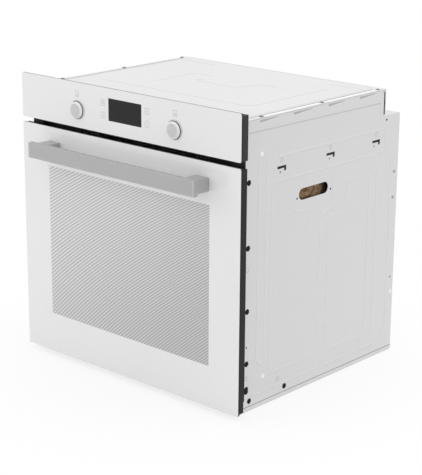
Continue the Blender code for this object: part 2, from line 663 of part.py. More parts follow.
def cavity():
    """Enamelled steel muffle, open to the front, with a flange behind the front frame."""
    skin = CAVITY_SHEET
    shell = block("oven_cavity", (-HALF_CAVITY - skin, HALF_CAVITY + skin), (CAVITY_FRONT, CAVITY_BACK),
                  (CAVITY_BOTTOM - skin, CAVITY_TOP + skin), ENAMEL, ("Y", CAVITY_RADIUS + skin))
    edge = CAVITY_FLANGE + skin
    fuse(shell, block("cavity_flange", (-HALF_CAVITY - edge, HALF_CAVITY + edge),
                      (CAVITY_FRONT, CAVITY_FRONT + skin), (CAVITY_BOTTOM - edge, CAVITY_TOP + edge)))
    carve(shell, block("cut_cavity", (-HALF_CAVITY, HALF_CAVITY), (0, CAVITY_BACK - skin),
                       (CAVITY_BOTTOM, CAVITY_TOP), rounding=("Y", CAVITY_RADIUS)))
    tight = ELEMENT_RADIUS + GAP + 0.0001
    carve(shell,
          *leg_holes("cut_ring_leg", RING_LEGS, tight),
          *leg_holes("cut_grill_leg", GRILL_LEGS, tight),
          *leg_holes("cut_lamp", [LAMP], LAMP_RADIUS + GAP),
          *leg_holes("cut_probe", [PROBE], PROBE_RADIUS + GAP),
          *leg_holes("cut_fan_shaft", [(0, CAVITY_MIDDLE)], SHAFT_HOLE))


def insulation():
    """Rock wool blanket around the cavity, with room for the element under its floor."""
    inner = HALF_CAVITY + CAVITY_SHEET + GAP
    outer = inner + WOOL
    floor = CAVITY_BOTTOM - BOTTOM_ROOM
    front = CAVITY_FRONT + CAVITY_SHEET + GAP
    wool = block("rock_wool", (-outer, outer), (front, WOOL_BACK), (floor - WOOL, WOOL_TOP), ROCK_WOOL)
    carve(wool, block("cut_wool", (-inner, inner), (0, CAVITY_BACK + GAP),
                      (floor, CAVITY_TOP + CAVITY_SHEET + GAP)))
    loose = ELEMENT_RADIUS + 0.0015
    carve(wool,
          *leg_holes("cut_wool_ring", RING_LEGS, loose),
          *leg_holes("cut_wool_grill", GRILL_LEGS, loose),
          *leg_holes("cut_wool_bottom", BOTTOM_LEGS, loose),
          *leg_holes("cut_wool_lamp", [LAMP], LAMP_RADIUS + 0.002),
          *leg_holes("cut_wool_probe", [PROBE], PROBE_RADIUS + 0.001),
          *leg_holes("cut_wool_shaft", [(0, CAVITY_MIDDLE)], SHAFT_HOLE))


# ---- heating ------------------------------------------------------------------------------
def loop(name, half, z):
    """A heating element that is the same left and right of the middle."""
    plan = half + [(-x, depth) for x, depth in reversed(half)]
    wire(name, rounded_path([at(x, depth, z) for x, depth in plan], ELEMENT_BEND), ELEMENT_RADIUS, DARK_STEEL)


def elements():
    """Tubular heaters: a ring around the fan, a grill under the roof and a loop under the floor."""
    turns = 40
    start = math.asin(RING_LEG / RING_RADIUS)
    depth = FAN_FRONT + 0.010
    ring = []
    for step in range(turns + 1):
        angle = -math.pi / 2 + start + (2 * math.pi - 2 * start) * step / turns
        ring.append(at(RING_RADIUS * math.cos(angle), depth, CAVITY_MIDDLE + RING_RADIUS * math.sin(angle)))
    bend = FRONT_Y + depth + 0.006
    first = [Vector((ring[0].x, y, ring[0].z)) for y in (FRONT_Y + TAIL_END, bend)]
    last = [Vector((ring[-1].x, y, ring[-1].z)) for y in (bend, FRONT_Y + TAIL_END)]
    wire("ring_element", first + ring[1:-1] + last, ELEMENT_RADIUS, DARK_STEEL)

    out, back, front = HALF_CAVITY - 0.046, FAN_COVER_FRONT - 0.016, RACK_FRONT + 0.005
    loop("grill_element", [(ELEMENT_LEG, TAIL_END), (ELEMENT_LEG, back), (out, back), (out, front),
                           (out / 2, front), (out / 2, back - 0.088)], GRILL_Z)
    out, back, front = HALF_CAVITY - 0.056, CAVITY_BACK - 0.040, RACK_FRONT + 0.020
    loop("bottom_element", [(ELEMENT_LEG, TAIL_END), (ELEMENT_LEG, back), (out, back), (out, front)], BOTTOM_Z)


def hot_air_fan():
    """Impeller on its shaft, with the motor behind the insulation and a slotted cover in front."""
    z = CAVITY_MIDDLE
    plate = FAN_PLATE
    fan = rod("hot_air_fan", at(0, plate, z), at(0, plate + PLATE, z), FAN_RADIUS, CHROME_WIRE, sides=32)
    fuse(fan, rod("fan_hub", at(0, FAN_FRONT, z), at(0, plate + 0.003, z), HUB_RADIUS, sides=16),
         rod("fan_shaft", at(0, FAN_FRONT + 0.002, z), at(0, MOTOR_END - 0.005, z), SHAFT_RADIUS, sides=16))
    for blade in range(FAN_BLADES):
        vane = block(f"fan_blade_{blade}", (FAN_RADIUS - 0.037, FAN_RADIUS - 0.002),
                     (FAN_FRONT, plate + 0.0005), (-PLATE / 2, PLATE / 2))
        turn = Matrix.Rotation(2 * math.pi * blade / FAN_BLADES, 4, "Y")
        vane.matrix_world = Matrix.Translation((0, 0, z)) @ turn
        fuse(fan, vane)
    hang(axis_empty("hot_air_fan_axis", at(0, plate, z)), fan)

    front = WOOL_BACK + GAP
    half = MOTOR_PLATE
    motor = rod("fan_motor", at(0, front + 0.006, z), at(0, MOTOR_END, z), MOTOR_RADIUS, DARK_STEEL)
    fuse(motor, block("fan_motor_plate", (-half, half), (front, front + 0.0015), (z - half, z + half)))
    for side in (-1, 1):
        x = side * (MOTOR_RADIUS - 0.012)
        fuse(motor, rod(f"fan_motor_stud_{side}", at(x, front + 0.001, z), at(x, front + 0.008, z), 0.004,
                        sides=12))
    carve(motor, rod("cut_motor", at(0, front - 0.02, z), at(0, MOTOR_END - 0.003, z),
                     SHAFT_RADIUS + RUNNING_GAP, sides=16))
    fan_cover()


def fan_cover():
    z = CAVITY_MIDDLE
    half_w, half_h = FAN_COVER_WIDTH / 2, CAVITY_TOP - CAVITY_MIDDLE - FAN_COVER_MARGIN
    front, back = FAN_COVER_FRONT, CAVITY_BACK - CAVITY_SHEET - GAP
    cover = block("fan_cover", (-half_w, half_w), (front, back), (z - half_h, z + half_h), ENAMEL, ("Y", 0.010))
    carve(cover, block("cut_cover", (PLATE - half_w, half_w - PLATE), (front + PLATE, FAR),
                       (z - half_h + PLATE, z + half_h - PLATE), rounding=("Y", 0.009)))
    for index in range(COVER_SLOTS):
        slot = block(f"cut_cover_slot_{index}", (0.020, 0.052), (front - 0.014, front + 0.006), (-0.003, 0.003))
        turn = Matrix.Rotation(2 * math.pi * index / COVER_SLOTS, 4, "Y")
        slot.matrix_world = Matrix.Translation((0, 0, z)) @ turn
        carve(cover, slot)


def lamp_and_probe():
    """Cavity lamp in its socket under a glass, and the thin tube that senses the temperature."""
    x, z = LAMP
    back = CAVITY_BACK - CAVITY_SHEET - GAP
    end = WOOL_BACK + 0.016
    socket = rod("lamp_socket", at(x, CAVITY_BACK - 0.006, z), at(x, end, z), LAMP_RADIUS, CERAMIC)
    carve(socket, rod("cut_socket", at(x, CAVITY_BACK - 0.02, z), at(x, end - 0.006, z), LAMP_RADIUS - 0.0022))
    front, wall = CAVITY_BACK - 0.020, 0.002
    lens = rod("lamp_lens", at(x, front, z), at(x, back, z), LENS_RADIUS - 0.003, CLEAR_GLASS,
               end_radius=LENS_RADIUS)
    carve(lens, rod("cut_lens", at(x, front + wall, z), at(x, back + 0.0115, z), LENS_RADIUS - wall - 0.003,
                    end_radius=LENS_RADIUS - wall))
    x, z = PROBE
    rod("temperature_probe", at(x, CAVITY_BACK - 0.090, z), at(x, TAIL_END, z), PROBE_RADIUS, CHROME_WIRE,
        sides=12)


# ---- oven furniture -----------------------------------------------------------------------
def runner_heights():
    return [RACK_FIRST + RACK_PITCH * level for level in range(RACK_LEVELS)]


def racks():
    """Chromed wire ladders that hang on the side walls."""
    heights = runner_heights()
    end = 0.022
    low, high = heights[0] - end, heights[-1] + end
    for name, side in SIDES:
        x, inner = side * UPRIGHT_X, side * RUNNER_X
        rack = rod(f"side_rack_{name}", at(x, RACK_FRONT, low), at(x, RACK_FRONT, high), UPRIGHT_RADIUS,
                   CHROME_WIRE, sides=8)
        fuse(rack, rod(f"rack_back_{name}", at(x, RACK_BACK, low), at(x, RACK_BACK, high), UPRIGHT_RADIUS,
                       sides=8))
        for index, z in enumerate(heights):
            fuse(rack, rod(f"runner_{name}_{index}", at(inner, RACK_FRONT - RUNNER_OVERHANG, z),
                           at(inner, RACK_BACK + RUNNER_OVERHANG, z), RUNNER_RADIUS, sides=8))
        smooth(rack)


def wire_shelf():
    """Chromed grid shelf: a frame of thick wire with thin wires across."""
    thick, rail, thin = 0.0028, 0.0025, 0.0016
    x = RUNNER_X - 0.0024
    lift = math.sqrt((RUNNER_RADIUS + rail + GAP) ** 2 - (RUNNER_X - x) ** 2)
    z = runner_heights()[SHELF_LEVEL] + lift
    rail_end, wire_end = 0.0013, 0.0003  # rails pass the end wires, and thin wires stop inside them
    shelf = rod("wire_shelf", at(-x, SHELF_FRONT, z), at(x, SHELF_FRONT, z), thick, CHROME_WIRE, sides=10)
    fuse(shelf, rod("shelf_back", at(-x, SHELF_BACK, z), at(x, SHELF_BACK, z), thick, sides=10))
    for side in (-1, 1):
        fuse(shelf, rod(f"shelf_side_{side}", at(side * x, SHELF_FRONT - rail_end, z),
                        at(side * x, SHELF_BACK + rail_end, z), rail, sides=9))
    for index in range(SHELF_WIRES):
        place = x * (2 * (index + 1) / (SHELF_WIRES + 1) - 1)
        fuse(shelf, rod(f"shelf_wire_{index}", at(place, SHELF_FRONT + wire_end, z + 0.0005),
                        at(place, SHELF_BACK - wire_end, z + 0.0005), thin, sides=7))
    hang(axis_empty("wire_shelf_slide_axis", at(0, SHELF_FRONT, z)), shelf)
    smooth(shelf)


def baking_tray():
    """Pressed tray with a flat rim that lies on the lowest runners."""
    z = RACK_FIRST + RUNNER_RADIUS + GAP
    rim_x, bowl_x = RUNNER_X - GAP, RUNNER_X - 0.013
    front, back = SHELF_FRONT + TRAY_RIM, SHELF_BACK - TRAY_RIM
    low = z + TRAY_SHEET - TRAY_DEPTH
    tray = block("baking_tray", (-rim_x, rim_x), (SHELF_FRONT, SHELF_BACK), (z, z + TRAY_SHEET), ENAMEL,
                 ("Z", TRAY_CORNER))
    fuse(tray, block("tray_bowl", (-bowl_x, bowl_x), (front, back), (low, z + 0.0005),
                     rounding=("Z", TRAY_CORNER)))
    inner_x = bowl_x - TRAY_SHEET
    carve(tray, block("cut_tray", (-inner_x, inner_x), (front + TRAY_SHEET, back - TRAY_SHEET),
                      (low + TRAY_SHEET, z + 0.02), rounding=("Z", TRAY_CORNER - TRAY_SHEET)))
    hang(axis_empty("baking_tray_slide_axis", at(0, SHELF_FRONT, z)), tray)


# ---- top compartment ----------------------------------------------------------------------
def top_deck():
    """Sheet above the insulation that carries the blower, and the duct that leads its air to the front."""
    front = RECESS_BACK + GAP
    block("top_deck", (-INSIDE, INSIDE), (front, UPPER_DEPTH - SHEET - GAP), (DECK_BOTTOM, DECK_TOP),
          ZINC_SHEET)
    low, half = DECK_TOP + GAP, DUCT_WIDTH / 2
    duct = block("air_duct", (-half, half), (front, BLOWER_FRONT), (low, low + DUCT_HEIGHT), ZINC_SHEET)
    carve(duct, block("cut_duct", (SHEET - half, half - SHEET), (0, BLOWER_FRONT + 0.1),
                      (low - 0.05, low + DUCT_HEIGHT - SHEET)))


def blower():
    """Cooling blower: an open-bottomed scroll box, the impeller on its shaft and the motor on a bridge."""
    low = DECK_TOP + GAP
    high = low + BLOWER_HEIGHT
    half = HALF_BLOWER
    middle = (BLOWER_FRONT + BLOWER_BACK) / 2
    front = BLOWER_FRONT + GAP
    side_wall = 0.014
    box = block("blower_housing", (-half, half), (front, BLOWER_BACK), (low, high), ZINC_SHEET, ("Z", 0.012))
    carve(box,
          block("cut_blower", (SHEET - half, half - SHEET), (front + SHEET, BLOWER_BACK - SHEET),
                (low - 0.05, high - SHEET), rounding=("Z", 0.011)),
          block("cut_blower_front", (side_wall - half, half - side_wall), (front - 0.01, front + 0.01),
                (low - 0.05, low + DUCT_HEIGHT - SHEET)),
          rod("cut_inlet", at(0, middle, high - 0.01), at(0, middle, high + 0.01), IMPELLER_RADIUS - 0.015,
              sides=32))

    floor = low + 0.006
    wheel = rod("cooling_impeller", at(0, middle, floor), at(0, middle, floor + PLATE), IMPELLER_RADIUS,
                PLASTIC, sides=32)
    fuse(wheel,
         rod("impeller_shaft", at(0, middle, floor), at(0, middle, high + 0.030), SHAFT_RADIUS, sides=16),
         rod("impeller_hub", at(0, middle, floor), at(0, middle, floor + 0.016), 0.009, sides=16))
    for index in range(IMPELLER_VANES):
        vane = block(f"impeller_vane_{index}", (IMPELLER_RADIUS - 0.016, IMPELLER_RADIUS - 0.001),
                     (-PLATE / 2, PLATE / 2), (floor + PLATE / 2, floor + IMPELLER_HEIGHT))
        turn = Matrix.Rotation(2 * math.pi * index / IMPELLER_VANES, 4, "Z")
        vane.matrix_world = Matrix.Translation(at(0, middle, 0)) @ turn @ Matrix.Translation((0, -FRONT_Y, 0))
        fuse(wheel, vane)
    hang(axis_empty("cooling_fan_axis", at(0, middle, floor)), wheel)

    bridge = high + GAP
    motor = rod("cooling_motor", at(0, middle, bridge + 0.001), at(0, middle, bridge + 0.036), 0.025,
                DARK_STEEL)
    fuse(motor, block("motor_bridge", (0.020 - half, half - 0.020), (middle - 0.010, middle + 0.010),
                      (bridge, bridge + 0.0015)))
    carve(motor, rod("cut_cooling_motor", at(0, middle, bridge - 0.02), at(0, middle, high + 0.032),
                     SHAFT_RADIUS + RUNNING_GAP, sides=16))


# ---- casing -------------------------------------------------------------------------------
def hook_slot(name, side, depth):
    """An L-shaped lanced slot: a level leg with a short foot at its rear end."""
    half, foot = 0.0125, 0.005
    reach = both(HALF_BODY - 0.02, HALF_BODY + 0.02, side)
    return [block(f"cut_level_{name}_{depth}", reach, (depth - half, depth + half),
                  (SLOT_Z - 0.0015, SLOT_Z + 0.0025)),
            block(f"cut_foot_{name}_{depth}", reach, (depth + half - foot, depth + half),
                  (SLOT_Z - 0.0065, SLOT_Z + 0.001))]


def round_cut(name, side, depth, z, radius, sides=12):
    return rod(name, at(side * (HALF_BODY - 0.02), depth, z), at(side * (HALF_BODY + 0.02), depth, z), radius,
               sides=sides)


def side_panels():
    """Galvanised sides with hanging slots, grip openings, plug holes and the notch for the rear cover."""
    front = FRAME_BACK + GAP
    half_length, half_height = HOLD_LENGTH / 2, HOLD_HEIGHT / 2
    for name, side in SIDES:
        across = both(HALF_BODY - 0.05, HALF_BODY + 0.05, side)
        panel = block(f"side_panel_{name}", both(HALF_BODY - SHEET - FLANGE, HALF_BODY, side),
                      (front, BODY_DEPTH), (BASE_BAND + SEAM, BODY_TOP - COVER_SHEET - GAP), ZINC_SHEET)
        carve(panel,
              block(f"cut_panel_{name}", both(HALF_BODY - 0.05, HALF_BODY - SHEET, side), (front + SHEET, FAR),
                    (0, FAR)),
              block(f"cut_notch_{name}", across, (UPPER_DEPTH, FAR), (STEP_TOP, FAR)),
              block(f"cut_rear_slot_{name}", across, (UPPER_DEPTH - 0.0065, UPPER_DEPTH - 0.002),
                    (STEP_TOP + 0.004, BODY_TOP - 0.006)),
              block(f"cut_hold_{name}", across, (HOLD_DEPTH - half_length, HOLD_DEPTH + half_length),
                    (HOLD_Z - half_height, HOLD_Z + half_height), rounding=("X", half_height - 0.0005)))
        for depth in SLOT_DEPTHS:
            carve(panel, *hook_slot(name, side, depth))
        for index, z in enumerate(PLUG_HEIGHTS):
            carve(panel, round_cut(f"cut_plug_{name}_{index}", side, PLUG_DEPTH, z, PLUG_RADIUS))
        for index, (depth, z) in enumerate(BASE_HOLES):
            carve(panel, round_cut(f"cut_base_hole_{name}_{index}", side, depth, z, PLUG_RADIUS))


def top_cover():
    """Flat cover with a folded lip inside each side panel."""
    under = BODY_TOP - COVER_SHEET
    inner = INSIDE - SHEET
    cover = block("top_cover", (-HALF_BODY, HALF_BODY), (FRAME_BACK + GAP, UPPER_DEPTH),
                  (BODY_TOP - 0.0095, BODY_TOP), ZINC_SHEET)
    carve(cover, block("cut_top", (-inner, inner), (0, FAR), (0, under)))
    for name, side in SIDES:
        carve(cover, block(f"cut_top_{name}", both(INSIDE, FAR, side), (0, FAR), (0, under)))
    carve(cover,
          block("cut_top_front", (-FAR, FAR), (0, FRAME_BACK + 0.0082), (0, under)),
          block("cut_top_rear", (-FAR, FAR), (UPPER_DEPTH - 0.011, FAR), (0, under)))


def rear_panels():
    """Upper rear panel with its vents, and the deeper cover over the lower rear."""
    upper = block("rear_panel", (-INSIDE, INSIDE), (UPPER_DEPTH - SHEET, UPPER_DEPTH),
                  (DECK_BOTTOM, BODY_TOP - COVER_SHEET - GAP), ZINC_SHEET)
    vents = block("cut_rear_vent", (0.02, 0.05), (0.3, FAR), (STEP_TOP + 0.012, STEP_TOP + 0.016))
    row(vents, 5, (0.042, 0, 0))
    row(vents, 4, (0, 0, 0.010))
    carve(upper, vents)

    roof = STEP_TOP - SHEET
    cover = block("rear_cover", (-INSIDE, INSIDE), (UPPER_DEPTH + GAP, BODY_DEPTH),
                  (BASE_BAND + SEAM, STEP_TOP), ZINC_SHEET)
    carve(cover, block("cut_back", (SHEET - INSIDE, INSIDE - SHEET), (0.3, BODY_DEPTH - SHEET), (0, roof)))
    for name, side in SIDES:
        carve(cover, block(f"cut_back_{name}", both(INSIDE - SHEET - 0.001, FAR, side),
                           (0.3, BODY_DEPTH - 0.016), (0, roof)))
    slot = block("cut_back_vent", (-0.060, 0.060), (BODY_DEPTH - 0.01, FAR), (0.085, 0.090))
    row(slot, 6, (0, 0, 0.014))
    carve(cover, slot)


def base_pan():
    """Pan under the casing, with lips inside the side panels and behind the front frame."""
    front = FRAME_BACK + 0.0007
    grown = PAN_FLOOR_OVERLAP
    pan = block("base_pan", (-HALF_BODY, HALF_BODY), (front, BODY_DEPTH), (0, BASE_BAND), ZINC_SHEET)
    carve(pan, block("cut_pan", (SHEET - HALF_BODY, HALF_BODY - SHEET), (front + SHEET, BODY_DEPTH - SHEET),
                     (SHEET, 0.1)))
    lip = (ARM_END + 0.004, BODY_DEPTH - 0.027)
    for name, side in SIDES:
        fuse(pan,
             block(f"pan_side_{name}", both(INSIDE - SHEET, INSIDE + grown, side), lip,
                   (grown, BASE_BAND - 0.0002)),
             block(f"pan_lip_{name}", both(INSIDE - SHEET, INSIDE, side), lip, (grown, PAN_LIP)))
    reach = HINGE_X - 0.011
    lip_front = RECESS_BACK + GAP
    fuse(pan, block("pan_front_lip", (-reach, reach), (lip_front, lip_front + SHEET), (grown, PAN_LIP)))


def mains_terminal():
    """Terminal block for the supply on the upper rear panel, under its cover."""
    x, face, wall = TERMINAL_X, UPPER_DEPTH + GAP, 0.002
    low, high = STEP_TOP + 0.0055, BODY_TOP - 0.0066
    depth = 0.024
    block("terminal_block", (x - 0.028, x + 0.028), (face, face + 0.016), (low + 0.008, high - 0.010), CERAMIC)
    cover = block("terminal_cover", (x - 0.040, x + 0.040), (face, face + depth), (low, high), PLASTIC,
                  ("Y", 0.003))
    exit_depth = face + depth / 2
    carve(cover,
          block("cut_terminal", (x - 0.040 + wall, x + 0.040 - wall), (face - 0.05, face + depth - wall),
                (low + wall, high - wall)),
          rod("cut_terminal_exit", at(x, exit_depth, low - 0.022), at(x, exit_depth, low + 0.008), 0.005,
              sides=16))


# ---- build --------------------------------------------------------------------------------
control_panel()
knob("function", -1)
knob("temperature", 1)
switch("selector_switch", -1, 0.022, 0.019)
switch("thermostat", 1, 0.020, 0.017)
door()
front_frame()
door_seal()
cavity()
insulation()
elements()
hot_air_fan()
lamp_and_probe()
racks()
wire_shelf()
baking_tray()
top_deck()
blower()
side_panels()
top_cover()
rear_panels()
base_pan()
mains_terminal()
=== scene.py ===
# %% [markdown]
# # A built-in wall oven, dressed for a catalogue
#
# The oven's working shape already exists: sixty solids that open, slide and turn. Here each of them
# gets the surface that a buyer sees, and the small parts that a shape for physics leaves out, such as
# screws, plugs and pressed lines in the sheet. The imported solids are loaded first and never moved.

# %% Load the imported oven
import json
import math

import bmesh
import bpy
from mathutils import Matrix, Vector, noise

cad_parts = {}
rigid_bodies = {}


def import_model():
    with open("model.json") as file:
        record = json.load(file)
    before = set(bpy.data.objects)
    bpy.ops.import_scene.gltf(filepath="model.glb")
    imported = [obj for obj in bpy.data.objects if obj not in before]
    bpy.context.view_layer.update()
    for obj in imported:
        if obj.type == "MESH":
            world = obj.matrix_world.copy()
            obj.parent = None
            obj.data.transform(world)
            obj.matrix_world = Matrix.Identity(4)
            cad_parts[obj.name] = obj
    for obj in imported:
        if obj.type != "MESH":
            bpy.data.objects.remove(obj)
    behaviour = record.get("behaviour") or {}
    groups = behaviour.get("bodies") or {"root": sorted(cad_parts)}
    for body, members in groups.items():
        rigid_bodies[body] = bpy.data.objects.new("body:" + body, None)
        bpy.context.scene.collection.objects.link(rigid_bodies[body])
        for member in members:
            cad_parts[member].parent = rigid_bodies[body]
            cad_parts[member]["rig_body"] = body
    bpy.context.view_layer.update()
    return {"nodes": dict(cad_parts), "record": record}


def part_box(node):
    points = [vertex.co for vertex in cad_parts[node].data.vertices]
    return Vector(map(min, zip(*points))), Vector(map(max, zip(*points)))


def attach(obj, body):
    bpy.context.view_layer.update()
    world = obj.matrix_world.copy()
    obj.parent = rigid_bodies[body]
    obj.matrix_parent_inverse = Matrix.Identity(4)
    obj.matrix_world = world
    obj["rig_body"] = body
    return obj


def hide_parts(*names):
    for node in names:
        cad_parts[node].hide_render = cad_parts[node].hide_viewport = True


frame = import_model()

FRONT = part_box("door_outer_glass")[0].y  # y of the front face of the glass
print("solids:", len(frame["nodes"]), " front of the glass at y =", round(FRONT, 5))


# %% [markdown]
# ## Shader maths as plain Python
#
# A finish is a small program made of nodes. Wiring each sum by hand is slow to read, so a Wire stands
# for one output socket and answers to +, - and *. Everything else, from a noise to a relief, comes from
# one method that takes the kind of node, its settings and its sockets.

# %% A wire
class Wire:
    """One output socket in a tree. A sum, difference or product of it adds a Math node."""

    def __init__(self, nodes, socket):
        self.nodes = nodes
        self.socket = socket

    def maths(self, operation, first, second):
        return self.nodes.add("ShaderNodeMath", {"operation": operation}, {0: first, 1: second})

    def __add__(self, other):
        return self.maths("ADD", self, other)

    def __radd__(self, other):
        return self.maths("ADD", other, self)

    def __sub__(self, other):
        return self.maths("SUBTRACT", self, other)

    def __rsub__(self, other):
        return self.maths("SUBTRACT", other, self)

    def __mul__(self, other):
        return self.maths("MULTIPLY", self, other)

    def __rmul__(self, other):
        return self.maths("MULTIPLY", other, self)


print("a wire answers to + - *")


# %% A tree and a finish
EVEN = (1.0, 1.0, 1.0)  # a noise that isn't drawn out in any direction


class Nodes:
    """A node tree under construction, of either kind."""

    def __init__(self, tree):
        self.tree = tree

    def add(self, kind, settings=None, sockets=None, output=0):
        """Adds one node: its settings first, then the values or links of its sockets."""
        node = self.tree.nodes.new(kind)
        for key, value in (settings or {}).items():
            setattr(node, key, value)
        for key, value in (sockets or {}).items():
            if isinstance(value, Wire):
                self.tree.links.new(value.socket, node.inputs[key])
            elif value is not None:
                node.inputs[key].default_value = value
        return Wire(self, node.outputs[output]) if node.outputs else None


class Finish(Nodes):
    """A material under construction."""

    def __init__(self, name):
        self.material = bpy.data.materials.new(name)
        self.material.use_nodes = True
        super().__init__(self.material.node_tree)
        self.tree.nodes.clear()

    def place(self):
        """Where a point of the piece is, in metres of the oven's own frame."""
        return self.add("ShaderNodeTexCoord", output="Object")

    def along(self, axis):
        return self.add("ShaderNodeSeparateXYZ", sockets={0: self.place()}, output=axis)

    def noise(self, scale, stretch=EVEN):
        """Cloudy numbers round 0.5. The scale is in features a metre, and stretch draws them out."""
        point = self.add("ShaderNodeMapping", sockets={"Vector": self.place(), "Scale": stretch})
        return self.add("ShaderNodeTexNoise", sockets={"Vector": point, "Scale": scale, "Detail": 3.0})

    def maths_of(self, operation, value):
        """A Math node that takes one number, such as a sine."""
        return self.add("ShaderNodeMath", {"operation": operation}, {0: value})

    def ease(self, value, low, high, start=0.0, end=1.0):
        """A soft step: start below low, end above high."""
        settings = {"interpolation_type": "SMOOTHSTEP"}
        return self.add("ShaderNodeMapRange", settings, {0: value, 1: low, 2: high, 3: start, 4: end})

    def blend(self, share, first, second):
        """Goes from the first colour to the second as share goes from 0 to 1."""
        colours = [c if isinstance(c, Wire) else (*c, 1.0) for c in (first, second)]
        return self.add("ShaderNodeMix", {"data_type": "RGBA"}, {0: share, 6: colours[0], 7: colours[1]}, 2)

    def relief(self, height, depth):
        """A bump of that depth in metres."""
        return self.add("ShaderNodeBump", sockets={"Height": height, "Distance": depth})

    def surface(self, **sockets):
        """The shader itself. Underscores in the names stand for spaces."""
        named = {key.replace("_", " "): value for key, value in sockets.items()}
        shader = self.add("ShaderNodeBsdfPrincipled", sockets=named)
        self.add("ShaderNodeOutputMaterial", sockets={"Surface": shader})
        return self.material


# %% Two helpers for colours
def grey(value):
    return (value, value, value)


def shaded(colour, factor):
    """A colour made darker or lighter by a factor."""
    return tuple(min(1.0, factor * part) for part in colour)


print("a grey and its shade:", grey(0.5), shaded(grey(0.5), 0.9))


# %% [markdown]
# ## White glass, printed from behind
#
# The front is clear toughened glass with white ink fired onto its back, so it is bright, even and
# glossy. Over the oven's window the ink is two fine line screens a few millimetres apart, and what
# the eye sees of them is slow slanted bands. They could be an image, but a phase that grows over the
# surface, passed through a sine, stays sharp at every distance. A little noise in the gloss keeps the
# sheet from looking computed.

# %% Rule the window's bands
WINDOW_HALF = 220.9  # mm from the middle of the door to the side of the printed window
WINDOW_MIDDLE = 252.7  # mm above the base
WINDOW_REACH = 159.1  # mm from the middle of the window to its upper and lower edge
WINDOW_BLUR = 0.4  # mm over which the print begins
BANDS_ACROSS, BANDS_UP = -0.1064, 0.1518  # bands for each mm sideways and upwards
DRIFT_ACROSS, DRIFT_SKEW, DRIFT_UP = -2.305e-5, 9.737e-5, 5.246e-5  # how these change for each mm
BAND_BLUR = 0.45  # how softly a band begins, 1 being a plain sine
CORNER_SHADE = 0.26  # how much darker the lower right corner is
BAND_LIGHT = grey(0.735)
BAND_DARK = (0.455, 0.455, 0.46)
INK = grey(0.80)


def window_print(finish):
    """The colour of the bands, and where on the door they are."""
    x = finish.along("X") * 1000.0
    z = finish.along("Z") * 1000.0 - WINDOW_MIDDLE
    phase = x * (BANDS_ACROSS + DRIFT_ACROSS * x + DRIFT_SKEW * z) + z * (BANDS_UP + DRIFT_UP * z)
    wave = finish.maths_of("SINE", phase * (2.0 * math.pi))
    bands = finish.blend(finish.ease(wave, -BAND_BLUR, BAND_BLUR), BAND_LIGHT, BAND_DARK)
    lower_right = finish.ease(x * (0.5 / WINDOW_HALF) - z * (0.5 / WINDOW_REACH), -1.0, 1.0)
    bands = finish.blend(lower_right * CORNER_SHADE, bands, grey(0.0))
    across, upright = (
        finish.ease(finish.maths_of("ABSOLUTE", place), reach - WINDOW_BLUR, reach + WINDOW_BLUR, 1.0, 0.0)
        for place, reach in ((x, WINDOW_HALF), (z, WINDOW_REACH)))
    return bands, across * upright


print("window:", 2 * WINDOW_HALF, "x", 2 * WINDOW_REACH, "mm")


# %% Mix the white glass and its edge
def white_ink(name, window=False):
    finish = Finish(name)
    cloud = finish.noise(6.0)
    ink = finish.blend(cloud, INK, shaded(INK, 0.985))
    if window:
        bands, inside = window_print(finish)
        ink = finish.blend(inside, ink, bands)
    return finish.surface(Base_Color=ink, Roughness=0.34, Coat_Weight=1.0, Coat_Roughness=0.03,
                          Normal=finish.relief(cloud, 0.0002))


PANEL_INK = white_ink("white_glass_panel")
DOOR_INK = white_ink("white_glass_door", window=True)


def ground_edge(name, dark, light):
    edge = Finish(name)
    return edge.surface(Base_Color=edge.blend(edge.noise(90.0), dark, light), Roughness=0.45,
                        Specular_IOR_Level=0.2)


GLASS_SIDE = ground_edge("glass_edge_side", (0.010, 0.011, 0.011), (0.014, 0.015, 0.015))
# the grey edge that looks up is painted light: a lighter copy of the dark ground edge
GLASS_TOP_PAINTED_LIGHT = ground_edge("glass_edge_top", (0.22, 0.24, 0.235), (0.27, 0.29, 0.285))
print("finishes:", PANEL_INK.name, DOOR_INK.name, GLASS_SIDE.name, GLASS_TOP_PAINTED_LIGHT.name)


# %% [markdown]
# ## Galvanised sheet
#
# The casing is steel dipped in a zinc alloy: pale, a little mottled where the coat froze in grains,
# and drawn out faintly along the rolling direction. Cells give the grains and stretched noise the
# rolling. Both stay weak, because new sheet looks almost plain from a metre away.

# %% Mix the galvanised sheet
def galvanised(name, tone, drawn_out):
    finish = Finish(name)
    grains = finish.add("ShaderNodeTexVoronoi", {"feature": "F1"},
                        {"Vector": finish.place(), "Scale": 160.0}, "Color")
    grain = finish.add("ShaderNodeSeparateColor", sockets={0: grains})
    rolling = finish.noise(260.0, drawn_out)
    cloud = finish.noise(7.0)
    shade = 0.25 * grain + 0.35 * rolling + 0.4 * cloud
    return finish.surface(Base_Color=finish.blend(shade, shaded(tone, 0.955), shaded(tone, 1.045)),
                          Metallic=0.55, Roughness=finish.ease(shade, 0.2, 0.8, 0.40, 0.50),
                          Normal=finish.relief(rolling, 0.00003))


SHEET = galvanised("galvanised_sheet", (0.72, 0.72, 0.725), (1.0, 1.0, 0.03))
TOP_SHEET = galvanised("galvanised_top", (0.74, 0.74, 0.745), (1.0, 0.03, 1.0))
# a paler copy of the sheet, painted light, for the folded lips on the cover and the dimples on the sides
PAINTED_LIGHT_SHEET = galvanised("folded_edge", (0.88, 0.88, 0.885), (1.0, 0.03, 1.0))
# a darker copy of the sheet for pressed lines and rings: painted shade
PAINTED_SHADE_SHEET = galvanised("drawn_sheet", (0.58, 0.58, 0.585), EVEN)


# %% [markdown]
# ## Metals, plastics and enamel
#
# The handle and the knobs wear a satin metallic lacquer, brushed along their length. The frame behind
# the glass is black powder coat, the housings are moulded plastic with a fine spark-eroded grain, and
# the cavity is grey enamel with lighter specks. Each could have a shader of its own, but they differ
# only in colour, gloss and grain, so one function for metals and one for the rest are enough.

